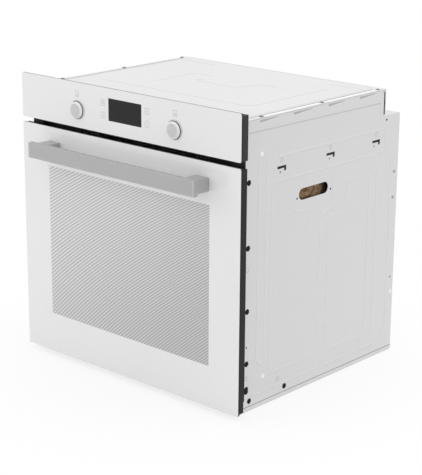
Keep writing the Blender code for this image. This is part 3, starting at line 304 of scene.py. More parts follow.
# %% Mix the metals
def metal(name, colour, roughness, scale=300.0, drawn_out=(0.04, 1.0, 1.0), depth=0.00002, metallic=1.0):
    finish = Finish(name)
    lines = finish.noise(scale, drawn_out)
    return finish.surface(Base_Color=finish.blend(lines, shaded(colour, 0.92), shaded(colour, 1.06)),
                          Metallic=metallic,
                          Roughness=finish.ease(lines, 0.3, 0.7, roughness - 0.05, roughness + 0.05),
                          Normal=finish.relief(lines, depth))


SATIN = metal("satin_lacquer", (0.44, 0.44, 0.445), 0.40, metallic=0.35)
KNOB_METAL = metal("turned_aluminium", (0.58, 0.58, 0.585), 0.34, 40.0, EVEN, 0.000004, 0.7)
# a bright copy of the metal: a painted highlight on the knobs' rims and the handle's seams
PAINTED_HIGHLIGHT = metal("bright_rim", (0.80, 0.80, 0.805), 0.35, drawn_out=EVEN, metallic=0.3)
CHROME = metal("chrome_wire", (0.70, 0.70, 0.71), 0.14, drawn_out=EVEN)
DARK_STEEL = metal("dark_steel", (0.20, 0.19, 0.18), 0.38, drawn_out=EVEN)
PLATED = metal("zinc_plated_screw", grey(0.45), 0.32, drawn_out=EVEN)


# %% Mix the coats and plastics
def grained(name, dark, light, roughness, scale, depth, **more):
    """An opaque finish whose colour and relief follow one grain."""
    finish = Finish(name)
    grain = finish.noise(scale)
    return finish.surface(Base_Color=finish.blend(finish.ease(grain, 0.35, 0.65), dark, light),
                          Roughness=finish.ease(grain, 0.3, 0.7, roughness - 0.04, roughness + 0.04),
                          Normal=finish.relief(grain, depth), **more)


BLACK_COAT = grained("black_powder_coat", grey(0.006), grey(0.010), 0.48, 900.0, 0.00003,
                     Specular_IOR_Level=0.3)
# a lighter copy of the black coat for the front frame: painted light in the shaded gap behind the glass
FRAME_COAT_PAINTED_LIGHT = grained("black_frame_coat", grey(0.020), grey(0.028), 0.48, 900.0, 0.00003,
                     Specular_IOR_Level=0.3)
BLACK_PLASTIC = grained("black_moulding", (0.026, 0.026, 0.027), (0.036, 0.036, 0.037), 0.55, 1600.0, 0.00003,
                        Specular_IOR_Level=0.3)
PLUG_PLASTIC = grained("plug_plastic", grey(0.006), grey(0.010), 0.60, 1200.0, 0.00003,
                       Specular_IOR_Level=0.15)
ENAMEL = grained("grey_enamel", (0.030, 0.031, 0.036), (0.075, 0.078, 0.088), 0.22, 2200.0, 0.00002,
                 Coat_Weight=0.5, Coat_Roughness=0.08)
RUBBER = grained("seal_rubber", grey(0.012), grey(0.022), 0.62, 700.0, 0.00005)
CERAMIC = grained("socket_ceramic", (0.62, 0.60, 0.55), (0.72, 0.70, 0.66), 0.55, 500.0, 0.00005)
print("finishes so far:", len(bpy.data.materials))


# %% Mix the rock wool
GRIP_MIDDLE = 0.408  # m above the base
SHADE_START, SHADE_END = 0.266, 0.302  # m behind the glass, where the painted shade on the wool in a grip begins and ends
SHADE_LEAN = 0.5  # how much further back it starts for each metre down


def wool(dark, light):
    """Brown lumps and fibres, with painted shade where the wool lies pressed back towards the rear of each
    grip.
    """
    finish = Finish("rock_wool")
    lumps = 0.6 * finish.noise(75.0) + 0.4 * finish.noise(420.0, (1.0, 0.5, 1.0))
    brown = finish.blend(finish.ease(lumps, 0.38, 0.62), dark, light)
    start, end = (FRONT + depth + SHADE_LEAN * GRIP_MIDDLE for depth in (SHADE_START, SHADE_END))
    shade = finish.ease(finish.along("Y") + finish.along("Z") * SHADE_LEAN, start, end)
    return finish.surface(Base_Color=finish.blend(shade * 0.93, brown, (0.004, 0.003, 0.002)), Roughness=0.95,
                          Specular_IOR_Level=0.1, Normal=finish.relief(lumps, 0.001))


WOOL = wool((0.17, 0.095, 0.048), (0.44, 0.31, 0.19))
print("wool darkens from", SHADE_START, "to", SHADE_END, "m behind the glass")


# %% Mix the board, the display, the print and the clear glass
BOARD = grained("circuit_board", (0.010, 0.060, 0.022), (0.016, 0.095, 0.035), 0.35, 350.0, 0.00002)
DISPLAY = grained("display_lens", (0.008, 0.008, 0.009), (0.010, 0.010, 0.011), 0.25, 60.0, 0.00001,
                  Specular_IOR_Level=0.1, Coat_Weight=0.32, Coat_Roughness=0.02)
PRINT = grained("grey_print", (0.38, 0.38, 0.385), (0.42, 0.42, 0.425), 0.4, 300.0, 0.00001)
clear = Finish("clear_glass")
CLEAR = clear.surface(Base_Color=clear.blend(clear.noise(8.0), (0.93, 0.97, 0.96), (0.96, 0.99, 0.98)),
                      Roughness=0.02, IOR=1.5, Transmission_Weight=1.0)
print("finishes in all:", len(bpy.data.materials))


# %% [markdown]
# ## Putting a finish on each solid
#
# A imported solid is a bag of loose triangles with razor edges. A copy of it can be welded, its flat
# areas joined and its edges rounded by a hair, and that hair is what catches the light on a real part.
# The copy then stands for the solid and moves with the same body.

# %% Helpers for a mesh and a piece
def smooth(mesh, angle=35.0):
    mesh.shade_smooth()
    mesh.set_sharp_from_angle(angle=math.radians(angle))


def mesh_from(work, name):
    """The mesh that a bmesh has become."""
    mesh = bpy.data.meshes.new(name)
    work.to_mesh(mesh)
    work.free()
    return mesh


def baked(thing):
    """The mesh of a piece with its modifiers carried out."""
    bpy.context.view_layer.update()
    graph = bpy.context.evaluated_depsgraph_get()
    return bpy.data.meshes.new_from_object(thing.evaluated_get(graph), depsgraph=graph)


def settle(thing, body, slot):
    """Bakes modifiers into the mesh, and lets the piece ride on its body."""
    mesh = baked(thing)
    thing.modifiers.clear()
    thing.data = mesh
    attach(thing, body)
    return thing


def piece(name, mesh, *finishes):
    thing = bpy.data.objects.new(name, mesh)
    bpy.context.scene.collection.objects.link(thing)
    for finish in finishes:
        mesh.materials.append(finish)
    return thing


# %% Weld a solid and round its corners
SAME = 1e-4  # m within which two places count as one


def round_corners(work, radius):
    """Rounds the four outermost edges that run straight back, as the corners of a pane."""
    wide = max(abs(vert.co.x) for vert in work.verts)
    low, high = (pick(vert.co.z for vert in work.verts) for pick in (min, max))

    def at_corner(vert):
        return abs(abs(vert.co.x) - wide) < SAME and min(abs(vert.co.z - low), abs(vert.co.z - high)) < SAME

    edges = [edge for edge in work.edges if all(map(at_corner, edge.verts))
             and abs(edge.verts[0].co.y - edge.verts[1].co.y) > SAME]
    bmesh.ops.bevel(work, geom=edges, offset=radius, segments=6, profile=0.5, affect="EDGES")
    return len(edges)


def welded(node, corner=0.0):
    """A clean copy of a solid's mesh: doubles merged, flat areas joined."""
    work = bmesh.new()
    work.from_mesh(frame["nodes"][node].data)
    bmesh.ops.remove_doubles(work, verts=work.verts, dist=1e-5)
    bmesh.ops.dissolve_limit(work, angle_limit=math.radians(0.5), verts=work.verts, edges=work.edges)
    if corner:
        print(node, "rounded corners:", round_corners(work, corner))
    mesh = mesh_from(work, node)
    mesh.materials.clear()
    return mesh


print("a solid's triangles:", len(frame["nodes"]["door_outer_glass"].data.polygons))


# %% Dress a solid
BEVEL_STEPS, BEVEL_ANGLE = 3, 40.0  # rows of faces on an edge, and the least turn that makes one, in degrees


def bevel(thing, width):
    step = thing.modifiers.new("edge", "BEVEL")
    step.width, step.segments = width, BEVEL_STEPS
    step.limit_method, step.angle_limit = "ANGLE", math.radians(BEVEL_ANGLE)
    thing.modifiers.new("shading", "WEIGHTED_NORMAL").keep_sharp = True


def cut(thing, cutters):
    for cutter in cutters:
        step = thing.modifiers.new("hole", "BOOLEAN")
        step.object, step.operation, step.solver = cutter, "DIFFERENCE", "EXACT"


SLOT = {part["node"]: part["material_slot"] for part in frame["record"]["subparts"]}


def home(node):
    """The body that a solid moves with, and its material slot."""
    return frame["nodes"][node]["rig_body"], SLOT[node]


def dress(node, finish, edge=0.0, cutters=(), corner=0.0):
    """Replaces a solid with a welded copy that has rounded edges and a finish."""
    thing = piece(f"{node}_finished", welded(node, corner), finish)
    cut(thing, cutters)
    smooth(thing.data)
    if edge:
        bevel(thing, edge)
    settle(thing, *home(node))
    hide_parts(node)
    return thing


print("edges get", BEVEL_STEPS, "rows of faces")


# %% [markdown]
# ## The solids, one finish after another
#
# Most solids only need their own finish and a rounded edge. The list follows the materials that a
# maker would order: sheet, coat, moulding, enamel, wire.

# %% Dress the casing, the frame and the inner parts
LOOKS = [
    (SHEET, 0.0003, ["rear_panel", "base_pan"]),
    (SHEET, 0.0, ["top_deck", "air_duct", "blower_housing"]),
    (FRAME_COAT_PAINTED_LIGHT, 0.0003, ["front_frame"]),
    (BLACK_COAT, 0.0004, ["door_column_left", "door_column_right", "door_pane_frame"]),
    (BLACK_PLASTIC, 0.0003, ["control_panel_housing", "door_top_trim", "terminal_cover"]),
    (BLACK_PLASTIC, 0.0, ["function_knob_sleeve", "temperature_knob_sleeve", "selector_switch", "thermostat",
                          "cooling_impeller"]),
    (DISPLAY, 0.0003, ["display_lens"]),
    (BOARD, 0.0, ["display_board"]),
    (CLEAR, 0.0006, ["door_middle_glass", "door_inner_glass"]),
    (CLEAR, 0.0, ["lamp_lens"]),
    (SATIN, 0.0008, ["handle_post_left", "handle_post_right"]),
    (PLATED, 0.0, ["handle_screw_left", "handle_screw_right", "hinge_pin_left", "hinge_pin_right"]),
    (CHROME, 0.0, ["function_knob_shaft", "temperature_knob_shaft", "side_rack_left", "side_rack_right",
                   "wire_shelf", "temperature_probe", "hot_air_fan"]),
    (DARK_STEEL, 0.0003, ["hinge_case_left", "hinge_case_right", "hinge_arm_left", "hinge_arm_right"]),
    (DARK_STEEL, 0.0, ["fan_motor", "cooling_motor", "ring_element", "grill_element", "bottom_element"]),
    (ENAMEL, 0.0, ["oven_cavity"]),
    (ENAMEL, 0.0004, ["fan_cover", "baking_tray"]),
    (RUBBER, 0.0, ["door_seal"]),
    (CERAMIC, 0.0, ["lamp_socket"]),
    (CERAMIC, 0.0004, ["terminal_block"]),
    (WOOL, 0.0, ["rock_wool"]),
]
for finish, edge_width, nodes in LOOKS:
    for node in nodes:
        dress(node, finish, edge_width)
print("dressed:", sum(len(nodes) for _, _, nodes in LOOKS))


# %% [markdown]
# ## The glass of the panel and the door
#
# Toughened glass has ground edges. The black part behind shows through them from the side, and from
# above they pick up the light and look grey. So the copy gets two more finishes, and every face that
# looks sideways or upwards takes its own; the grey one on the upward faces is painted light. The
# corners are rounded, as glass never keeps a sharp one.

# %% Dress the white glass
SIDEWAYS, UPWARDS = 0.75, 0.6  # a normal with less than this of y looks sideways, with more of z upwards
GLASS_CORNER = 0.0035


def edge_faces(thing):
    """Faces that don't look forwards or backwards take the second finish, or the third, painted light, if
    they look up.
    """
    turned = [face for face in thing.data.polygons if abs(face.normal.y) < SIDEWAYS]
    for face in turned:
        face.material_index = 2 if face.normal.z > UPWARDS else 1
    return len(turned)


for node, ink in (("control_panel_glass", PANEL_INK), ("door_outer_glass", DOOR_INK)):
    glass = dress(node, ink, 0.0004, corner=GLASS_CORNER)
    glass.data.materials.append(GLASS_SIDE)
    glass.data.materials.append(GLASS_TOP_PAINTED_LIGHT)
    print(node, "ground faces:", edge_faces(glass))


# %% [markdown]
# ## Gaskets behind the door columns
#
# A soft black strip runs down the back of each column, so that the door closes quietly. It is a plain
# extrusion, cut to length, and a box with rounded edges says all there is to say about it.

# %% Cut the gaskets
SIDES = (("left", -1), ("right", 1))
GASKET_INNER, GASKET_OUTER = 0.2850, 0.2958  # m from the middle of the door
GASKET_THICK = 0.0026
GASKET_LOW, GASKET_HIGH = 0.022, 0.001  # how far it ends short of the column, below and above


def box_mesh(name, low, high):
    low, high = Vector(low), Vector(high)
    work = bmesh.new()
    bmesh.ops.create_cube(work, size=1.0)
    bmesh.ops.scale(work, vec=high - low, verts=work.verts)
    bmesh.ops.translate(work, vec=(low + high) / 2, verts=work.verts)
    return mesh_from(work, name)


def bevelled_box(name, low, high, finish, node, width):
    """A box with rounded edges that shares the body of a solid."""
    thing = piece(name, box_mesh(name, low, high), finish)
    smooth(thing.data)
    bevel(thing, width)
    return settle(thing, *home(node))


for name, side in SIDES:
    low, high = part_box(f"door_column_{name}")
    start, end = sorted((side * GASKET_INNER, side * GASKET_OUTER))
    bevelled_box(f"column_gasket_{name}", (start, high.y, low.z + GASKET_LOW),
                 (end, high.y + GASKET_THICK, high.z - GASKET_HIGH), BLACK_COAT,
                 f"door_column_{name}", 0.0006)
print("gaskets:", GASKET_THICK * 1000, "mm thick")


# %% [markdown]
# ## The handle
#
# The bar is a flat extrusion with a cap closing each end, and the bright hairline between bar and cap
# is what says so. That hairline is a painted highlight: a thin spacer in a bright finish. Painting a line
# would only mark the seam, so the bar, the spacer and the cap are bodies of their own.

# %% Build the bar and its caps
CAP = 0.0014  # length of an end cap
SEAM = 0.0008  # width of the bright spacer between the bar and a cap, a painted highlight
SEAM_FRONT, SEAM_INSET = 0.0001, 0.0003  # how far the spacer lies inside the bar, in front and elsewhere

low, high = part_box("door_handle_bar")
inner = high.x - CAP - SEAM
bar = bevelled_box("handle_bar", (-inner, low.y, low.z), (inner, high.y, high.z), SATIN,
                   "door_handle_bar", 0.0009)
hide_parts("door_handle_bar")
for name, side in SIDES:
    start, end = sorted((side * (inner + SEAM), side * high.x))
    bevelled_box(f"handle_cap_{name}", (start, low.y, low.z), (end, high.y, high.z), SATIN,
                 "door_handle_bar", 0.0005)
    start, end = sorted((side * inner, side * (inner + SEAM)))
    bevelled_box(f"handle_seam_{name}", (start, low.y + SEAM_FRONT, low.z + SEAM_INSET),
                 (end, high.y - SEAM_INSET, high.z - SEAM_INSET), PAINTED_HIGHLIGHT, "door_handle_bar", 0.0001)
print("handle:", round(2 * high.x * 1000), "mm long")


# %% [markdown]
# ## The knobs
#
# Each knob is a turned metal cap on a narrower neck: a flat face, a sloping rim that shines on the lit
# side, given a painted highlight all round, and a neck that runs back through a white collar with a
# black ring on its front. A profile spun round the shaft is the way to make both, because the rim can
# have as many steps as the light needs.

# %% Spin a profile
def spun(name, profile, centre=(0, 0, 0), axis=(0, 0, 1), steps=72):
    """A solid of revolution. The profile lists (radius, distance along the axis), from pole to pole or all
    round the section of a ring."""
    work = bmesh.new()
    turn = Vector((0, 0, 1)).rotation_difference(Vector(axis)).to_matrix()
    rings = []
    for radius, along in profile:
        ring = []
        for step in range(steps if radius else 1):
            angle = 2 * math.pi * step / steps
            spot = Vector((radius * math.cos(angle), radius * math.sin(angle), along))
            ring.append(work.verts.new(Vector(centre) + turn @ spot))
        rings.append(ring)
    for first, second in zip(rings, rings[1:]):
        for step in range(steps):
            after = (step + 1) % steps
            corners = [first[step % len(first)], first[after % len(first)], second[after % len(second)],
                       second[step % len(second)]]
            work.faces.new(list(dict.fromkeys(corners)))
    bmesh.ops.remove_doubles(work, verts=work.verts, dist=1e-7)
    bmesh.ops.recalc_face_normals(work, faces=work.faces)
    mesh = mesh_from(work, name)
    smooth(mesh, 30.0)
    return mesh


print("a full turn has 72 steps, unless fewer are asked for")


# %% Size a knob and its collar
CAP_RADIUS, FACE_RADIUS = 0.0170, 0.0139  # of the cap at its widest, and of its flat face
NECK_RADIUS = 0.0158
BORE_RADIUS, BORE_DEPTH = 0.0036, 0.0050  # for the end of the shaft
FACE, RIM = -0.0040, -0.0008  # the face and the end of the slope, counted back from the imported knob's front
SKIRT = 0.0014  # from the end of the slope to the back of the cap
ROUND = 0.0004  # how much is taken off a corner
RING_RADIUS, RING_PROUD = 0.0181, 0.0024  # the black ring, and how far it stands out of the glass
COLLAR_DEPTH = 0.0030  # how far the collar reaches into the glass
NECK_PLAY, HOLE_PLAY = 0.0006, 0.0002  # from the collar to the neck and to the edge of the hole


def knob_profile(deep):
    back = RIM + SKIRT
    return [(0.0, FACE), (0.6 * FACE_RADIUS, FACE), (FACE_RADIUS - ROUND, FACE),
            (FACE_RADIUS + 0.0001, FACE + 0.0001), (FACE_RADIUS + 0.0007, FACE + 0.0006),
            (CAP_RADIUS - 0.0005, RIM - ROUND), (CAP_RADIUS, RIM), (CAP_RADIUS, back - ROUND),
            (CAP_RADIUS - ROUND, back), (NECK_RADIUS, back + 0.0001), (NECK_RADIUS, deep - 0.0006),
            (NECK_RADIUS - 0.0006, deep), (BORE_RADIUS + ROUND, deep), (BORE_RADIUS, deep - ROUND),
            (BORE_RADIUS, deep - BORE_DEPTH), (0.0, deep - BORE_DEPTH)]


def collar_profile(front, hole):
    inner, top = NECK_RADIUS + NECK_PLAY, front - RING_PROUD
    outer, end = hole - HOLE_PLAY, front + COLLAR_DEPTH
    return [(inner, top), (RING_RADIUS - 0.0003, top), (RING_RADIUS, top + 0.0003),
            (RING_RADIUS + 0.0001, front), (outer, front), (outer, end), (inner, end), (inner, top)]


print("cap:", 2000 * CAP_RADIUS, "mm across, its face", 2000 * FACE_RADIUS)


# %% Spin the knobs and their collars
for name in ("function", "temperature"):
    low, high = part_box(f"{name}_knob")
    middle, front, deep = (low + high) / 2, FRONT - low.y, high.y - low.y
    centre = (middle.x, low.y, middle.z)
    knob = piece(f"{name}_knob_turned", spun(f"{name}_knob_turned", knob_profile(deep), centre, (0, 1, 0)),
                 KNOB_METAL, PAINTED_HIGHLIGHT)
    # the rim's faces take the bright finish, a painted highlight
    for part in knob.data.polygons:
        away = math.hypot(part.center.x - middle.x, part.center.z - middle.z)
        slope = away > FACE_RADIUS - 0.0002 and part.center.y < low.y + RIM + SKIRT - ROUND
        part.material_index = int(slope)
    settle(knob, *home(f"{name}_knob"))
    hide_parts(f"{name}_knob")
    hole = min(math.hypot(vert.co.x - middle.x, vert.co.z - middle.z)
               for vert in frame["nodes"]["control_panel_glass"].data.vertices)
    collar = piece(f"{name}_knob_collar",
                   spun(f"{name}_knob_collar", collar_profile(front, hole), centre, (0, 1, 0)),
                   PANEL_INK, PLUG_PLASTIC)
    for part in collar.data.polygons:
        part.material_index = int(part.center.y < low.y + front - RING_PROUD + 0.0002)
    settle(collar, *home("control_panel_glass"))
    print(name, "hole radius", round(hole * 1000, 2), "mm, knob depth", round(deep * 1000, 1))


# %% [markdown]
# ## Two small machines: one sets parts, one presses lines
#
# Screws, plugs and rivets are the same part set down many times, and pressed lines are one small
# profile drawn along many paths. Both are jobs for Geometry Nodes: change a size in one place and every
# copy follows. The first tree sets a part on every point, facing the way the point says, turned by a
# seeded random angle. The second rounds a path's corners and sweeps a flat oval along it, half sunk in
# the sheet.

# %% Build the tree that sets parts
def new_tree(name, inputs):
    """A Geometry Nodes tree with a geometry in and out and named inputs for its sizes."""
    group = bpy.data.node_groups.new(name, "GeometryNodeTree")
    group.interface.new_socket("Geometry", in_out="INPUT", socket_type="NodeSocketGeometry")
    for label, kind in inputs:
        group.interface.new_socket(label, in_out="INPUT", socket_type=kind)
    group.interface.new_socket("Geometry", in_out="OUTPUT", socket_type="NodeSocketGeometry")
    plan = Nodes(group)
    source = plan.add("NodeGroupInput").socket.node
    return plan, {socket.name: Wire(plan, socket) for socket in source.outputs if socket.name}


plan, given = new_tree("set_parts", [("Part", "NodeSocketObject"), ("Size", "NodeSocketFloat"),
                                     ("Most turn", "NodeSocketFloat"), ("Seed", "NodeSocketInt"),
                                     ("Finish", "NodeSocketMaterial")])
facing = plan.add("GeometryNodeInputNamedAttribute", {"data_type": "FLOAT_VECTOR"}, {"Name": "facing"})
upright = plan.add("FunctionNodeAlignRotationToVector", {"axis": "Z"}, {"Vector": facing})
angle = plan.add("FunctionNodeRandomValue", {"data_type": "FLOAT"},
                 {3: given["Most turn"], "Seed": given["Seed"]}, 1)
spin = plan.add("FunctionNodeAxisAngleToRotation", None, {"Axis": (0, 0, 1), "Angle": angle})
turned = plan.add("FunctionNodeRotateRotation", {"rotation_space": "LOCAL"}, {0: upright, 1: spin})
part = plan.add("GeometryNodeObjectInfo", {"transform_space": "ORIGINAL"}, {"Object": given["Part"]},
                "Geometry")
copies = plan.add("GeometryNodeInstanceOnPoints", None, {"Points": given["Geometry"], "Instance": part,
                                                        "Rotation": turned, "Scale": given["Size"]})
whole = plan.add("GeometryNodeRealizeInstances", None, {"Geometry": copies})
whole = plan.add("GeometryNodeSetMaterial", None, {"Geometry": whole, "Material": given["Finish"]})
plan.add("NodeGroupOutput", None, {0: whole})
SET_PARTS = plan.tree
print("tree:", SET_PARTS.name, len(SET_PARTS.nodes), "nodes")


# %% Build the tree that presses lines
plan, given = new_tree("press_lines", [("Facing", "NodeSocketVector"), ("Corner radius", "NodeSocketFloat"),
                                       ("Half width", "NodeSocketFloat"), ("Height", "NodeSocketFloat"),
                                       ("Finish", "NodeSocketMaterial")])
path = plan.add("GeometryNodeMeshToCurve", None, {"Mesh": given["Geometry"]})
path = plan.add("GeometryNodeFilletCurve", {"mode": "POLY"}, {"Curve": path, "Count": 5,
                                                            "Radius": given["Corner radius"],
                                                            "Limit Radius": True})
path = plan.add("GeometryNodeSetCurveNormal", {"mode": "FREE"}, {"Curve": path, "Normal": given["Facing"]})
oval = plan.add("GeometryNodeCurvePrimitiveCircle", {"mode": "RADIUS"}, {"Resolution": 12, "Radius": 1.0})
size = plan.add("ShaderNodeCombineXYZ", None, {0: given["Height"], 1: given["Half width"], 2: 1.0})
oval = plan.add("GeometryNodeTransform", None, {"Geometry": oval, "Scale": size})
line = plan.add("GeometryNodeCurveToMesh", None, {"Curve": path, "Profile Curve": oval, "Fill Caps": True})
line = plan.add("GeometryNodeRealizeInstances", None, {"Geometry": line})
line = plan.add("GeometryNodeSetMaterial", None, {"Geometry": line, "Material": given["Finish"]})
plan.add("NodeGroupOutput", None, {0: line})
PRESS_LINES = plan.tree
print("tree:", PRESS_LINES.name, len(PRESS_LINES.nodes), "nodes")


# %% Helpers that run the two trees
def grow(thing, tree, **values):
    """Runs a tree on a piece. Each input is set by its socket's identifier before it is evaluated."""
    step = thing.modifiers.new("tree", "NODES")
    step.node_group = tree
    wanted = {key.replace("_", " "): value for key, value in values.items()}
    for socket in tree.interface.items_tree:
        if socket.in_out == "INPUT" and socket.name in wanted:
            step[socket.identifier] = wanted[socket.name]
    return thing


print("inputs of the first tree:", [socket.name for socket in SET_PARTS.interface.items_tree])


# %% Set parts and press lines with them
def set_parts(name, part, spots, finish, slot="zinc_sheet", size=1.0, most_turn=2.0, seed=1):
    """One piece with a copy of a part on every spot, each spot a point and the way it faces."""
    mesh = bpy.data.meshes.new(name)
    mesh.from_pydata([spot for spot, _ in spots], [], [])
    facing = mesh.attributes.new("facing", "FLOAT_VECTOR", "POINT")
    for index, (_, way) in enumerate(spots):
        facing.data[index].vector = way
    thing = grow(piece(name, mesh), SET_PARTS, Part=part, Size=size, Most_turn=most_turn, Seed=seed,
                 Finish=finish)
    settle(thing, "oven", slot)
    smooth(thing.data, 40.0)
    print(name, len(spots), "parts,", len(thing.data.polygons), "faces")


def path_mesh(name, paths):
    """Points and edges along each path. A path whose ends meet is closed."""
    points, edges = [], []
    for path in paths:
        first = len(points)
        closed = path[0] == path[-1]
        points += path[:-1] if closed else path
        count = len(points) - first
        edges += [(first + step, first + step + 1) for step in range(count - 1)]
        if closed:
            edges.append((first + count - 1, first))
    mesh = bpy.data.meshes.new(name)
    mesh.from_pydata(points, edges, [])
    return mesh


def press_lines(name, paths, facing, finish, half_width, height, corner=0.012, node="top_cover"):
    """One piece with a raised line along each path, which shares the body of a solid."""
    thing = grow(piece(name, path_mesh(name, paths)), PRESS_LINES, Facing=facing, Corner_radius=corner,
                 Half_width=half_width, Height=height, Finish=finish)
    settle(thing, *home(node))
    smooth(thing.data, 60.0)
    print(name, len(paths), "lines,", len(thing.data.polygons), "faces")


# %% [markdown]
# ## Prints on the control panel
#
# Faint grey marks say what the knobs and touch fields do. They are screen printed, so they stand a few
# hundredths of a millimetre proud, and a thin line swept along each outline gives just that. The marks
# are plain and generic: a tray over each knob, then plus, minus, a clock and a bar.

# %% Print the marks
def on_front(x, height, out=0.0):
    """A point on the front of the glass, standing out by that many millimetres."""
    return Vector((x / 1000, FRONT - out / 1000, height / 1000))


def loop(x, height, half_wide, half_high):
    """A closed rectangle round a point."""
    corners = ((-1, -1), (1, -1), (1, 1), (-1, 1), (-1, -1))
    return [(x + a * half_wide, height + b * half_high) for a, b in corners]


KNOB_MARK, TOUCH = 133, 60  # mm from the middle to the marks over a knob and to the touch fields
TOUCH_ROWS = (564.5, 540.2)  # mm above the base
INK_WIDTH, INK_HEIGHT = 0.0004, 0.00004  # half the width of a printed line, and its height, in m
POINTER = (9.5, 14.0)  # mm from the middle of a knob to the ends of its pointer
POINTER_OUT = 0.1  # mm

upper, lower = TOUCH_ROWS
MARKS = [loop(x, 572.0, 4.6, 5.6) for x in (-KNOB_MARK, KNOB_MARK)]
MARKS += [loop(x, 570.0, 2.6, 1.6) for x in (-KNOB_MARK, KNOB_MARK)]
MARKS += [loop(x, height, 5.6, 5.6) for x in (-TOUCH, TOUCH) for height in TOUCH_ROWS]
MARKS += [[(TOUCH - 2.2, upper), (TOUCH + 2.2, upper)], [(TOUCH, upper - 2.2), (TOUCH, upper + 2.2)],
          [(TOUCH - 2.2, lower), (TOUCH + 2.2, lower)]]
MARKS += [[(-TOUCH - 2.4, lower + rise), (-TOUCH + 2.4, lower + rise)] for rise in (-1.4, 1.2)]
MARKS += [loop(-TOUCH, upper, 2.4, 2.4), [(-TOUCH, upper + 1.6), (-TOUCH, upper), (-TOUCH + 1.2, upper)]]
press_lines("panel_marks", [[on_front(*point) for point in mark] for mark in MARKS], (0, -1, 0), PRINT,
            INK_WIDTH, INK_HEIGHT, corner=0.0014, node="control_panel_glass")
for name in ("function", "temperature"):
    low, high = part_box(f"{name}_knob")
    x, height = 500 * (low.x + high.x), 500 * (low.z + high.z)
    out = (FRONT - low.y - FACE) * 1000 + POINTER_OUT
    press_lines(f"{name}_pointer", [[on_front(x, height + rise, out) for rise in POINTER]], (0, -1, 0), PRINT,
                INK_WIDTH, 2 * INK_HEIGHT, node=f"{name}_knob")


# %% [markdown]
# ## The side panels
#
# The sides are one sheet each. A press has drawn long shallow lines into them, so that a metre of thin
# steel doesn't drum, and punched small holes beside the hanging slots. The punched holes are cut from
# the welded copy with a Boolean, and the pressed lines are swept along paths. Relief in the finish would
# be quicker, but only a real shape throws a shadow in low light. Depths count backwards from the glass
# and heights upwards from the base, both in millimetres, as on a drawing.

# %% Punch and dress the side panels
HALF_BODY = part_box("side_panel_right")[1].x
SLOTS = ((139.9, 135.4), (288.6, 284.9), (438.0, 431.0))  # the depths of each slot and of the hole below it
HOOKS = (139.5, 288.5, 438.0)  # depths of the hooks in the slots
HOOK_CUTS = (((-13.0, 466.5), (13.0, 471.5)), ((7.0, 460.8), (13.0, 468.0)))  # two corners of each cut
PUNCHED = [(hole, 459.7, 1.7) for _, hole in SLOTS] + [  # depth, height and radius
    (187.7, 397.9, 2.2), (291.4, 397.6, 2.2), (44.7, 132.6, 2.0), (505.5, 165.5, 1.9), (471.7, 508.0, 2.4)]
CUT_REACH = 4.0  # how far a cutter stands out on both sides of the sheet


def on_side(side, depth, height, out=0.0):
    """A point on the outside of a side panel, standing out by that many millimetres."""
    return Vector((side * (HALF_BODY + out / 1000), FRONT + depth / 1000, height / 1000))


def drill(name, centre, axis, radius, reach):
    """A round cutter, which is removed after use."""
    profile = [(0, -reach), (radius, -reach), (radius, reach), (0, reach)]
    cutter = piece(name, spun(name, profile, centre, axis, 20))
    cutter.hide_render = True
    return cutter


for name, side in SIDES:
    drills = [drill(f"drill_{index}", on_side(side, depth, height), (side, 0, 0), radius / 1000,
                    CUT_REACH / 1000)
              for index, (depth, height, radius) in enumerate(PUNCHED)]
    for depth in HOOKS:
        for index, (low, high) in enumerate(HOOK_CUTS):
            ends = [on_side(side, depth + low[0], low[1], -CUT_REACH),
                    on_side(side, depth + high[0], high[1], CUT_REACH)]
            corners = [[pick(end[axis] for end in ends) for axis in range(3)] for pick in (min, max)]
            drills.append(piece(f"hook_{depth}_{index}", box_mesh("hook", *corners)))
    panel = dress(f"side_panel_{name}", SHEET, 0.0003, drills)
    for cutter in drills:
        bpy.data.objects.remove(cutter)
    print(panel.name, "faces:", len(panel.data.polygons))


# %% Press the lines into the side panels
# lines in the darker copy of the sheet, painted shade, standing a little out from the panel
PAINTED_SHADE_LINES = [[(46, 548.6), (449, 545.6)], [(134, 491), (462, 491)], [(130, 61), (234, 61)],
               [(300, 60), (410, 60)]]
SIDE_LINES = [
    [(449, 545.6), (452, 512)],
    [(120, 443), (470, 443), (470, 491), (120, 491), (120, 443)],
    [(74, 90), (97, 90), (97, 512), (74, 512), (74, 90)],
    [(113, 425), (113, 61), (234, 61), (270, 74)],
    [(158, 425), (160, 388), (188, 371), (222, 371), (222, 307)],
    [(300, 425), (300, 362), (262, 350), (262, 100)],
    [(288, 60), (420, 60), (420, 405), (345, 405), (345, 342), (288, 342), (288, 60)],
    [(445, 60), (445, 405)],
    [(493, 420), (493, 60), (479, 40)],
    [(60, 29), (500, 29)],
]
for name, side in SIDES:
    paths = [[on_side(side, depth, height) for depth, height in line] for line in SIDE_LINES]
    press_lines(f"side_lines_{name}", paths, (side, 0, 0), SHEET, 0.0022, 0.0009)
    paths = [[on_side(side, depth, height, 0.2) for depth, height in line] for line in PAINTED_SHADE_LINES]
    press_lines(f"drawn_lines_{name}", paths, (side, 0, 0), PAINTED_SHADE_SHEET, 0.0010, 0.0006)


# %% [markdown]
# ## Painted shade: dark backs, a shadow strip at the base and the cover's cut lip
#
# Behind each slot and small hole there is only the dark inside of the casing, and a black plate just
# behind the sheet, painted shade, keeps it dark from every side. A black strip in the joint between the
# panel and the base is a painted shadow line. High on the panel the cover's edge was cut and folded,
# which leaves long wedge-shaped shadows, painted as thin grey sheets. All of these are thin prisms, so
# one small function that gives an outline a thickness makes them.

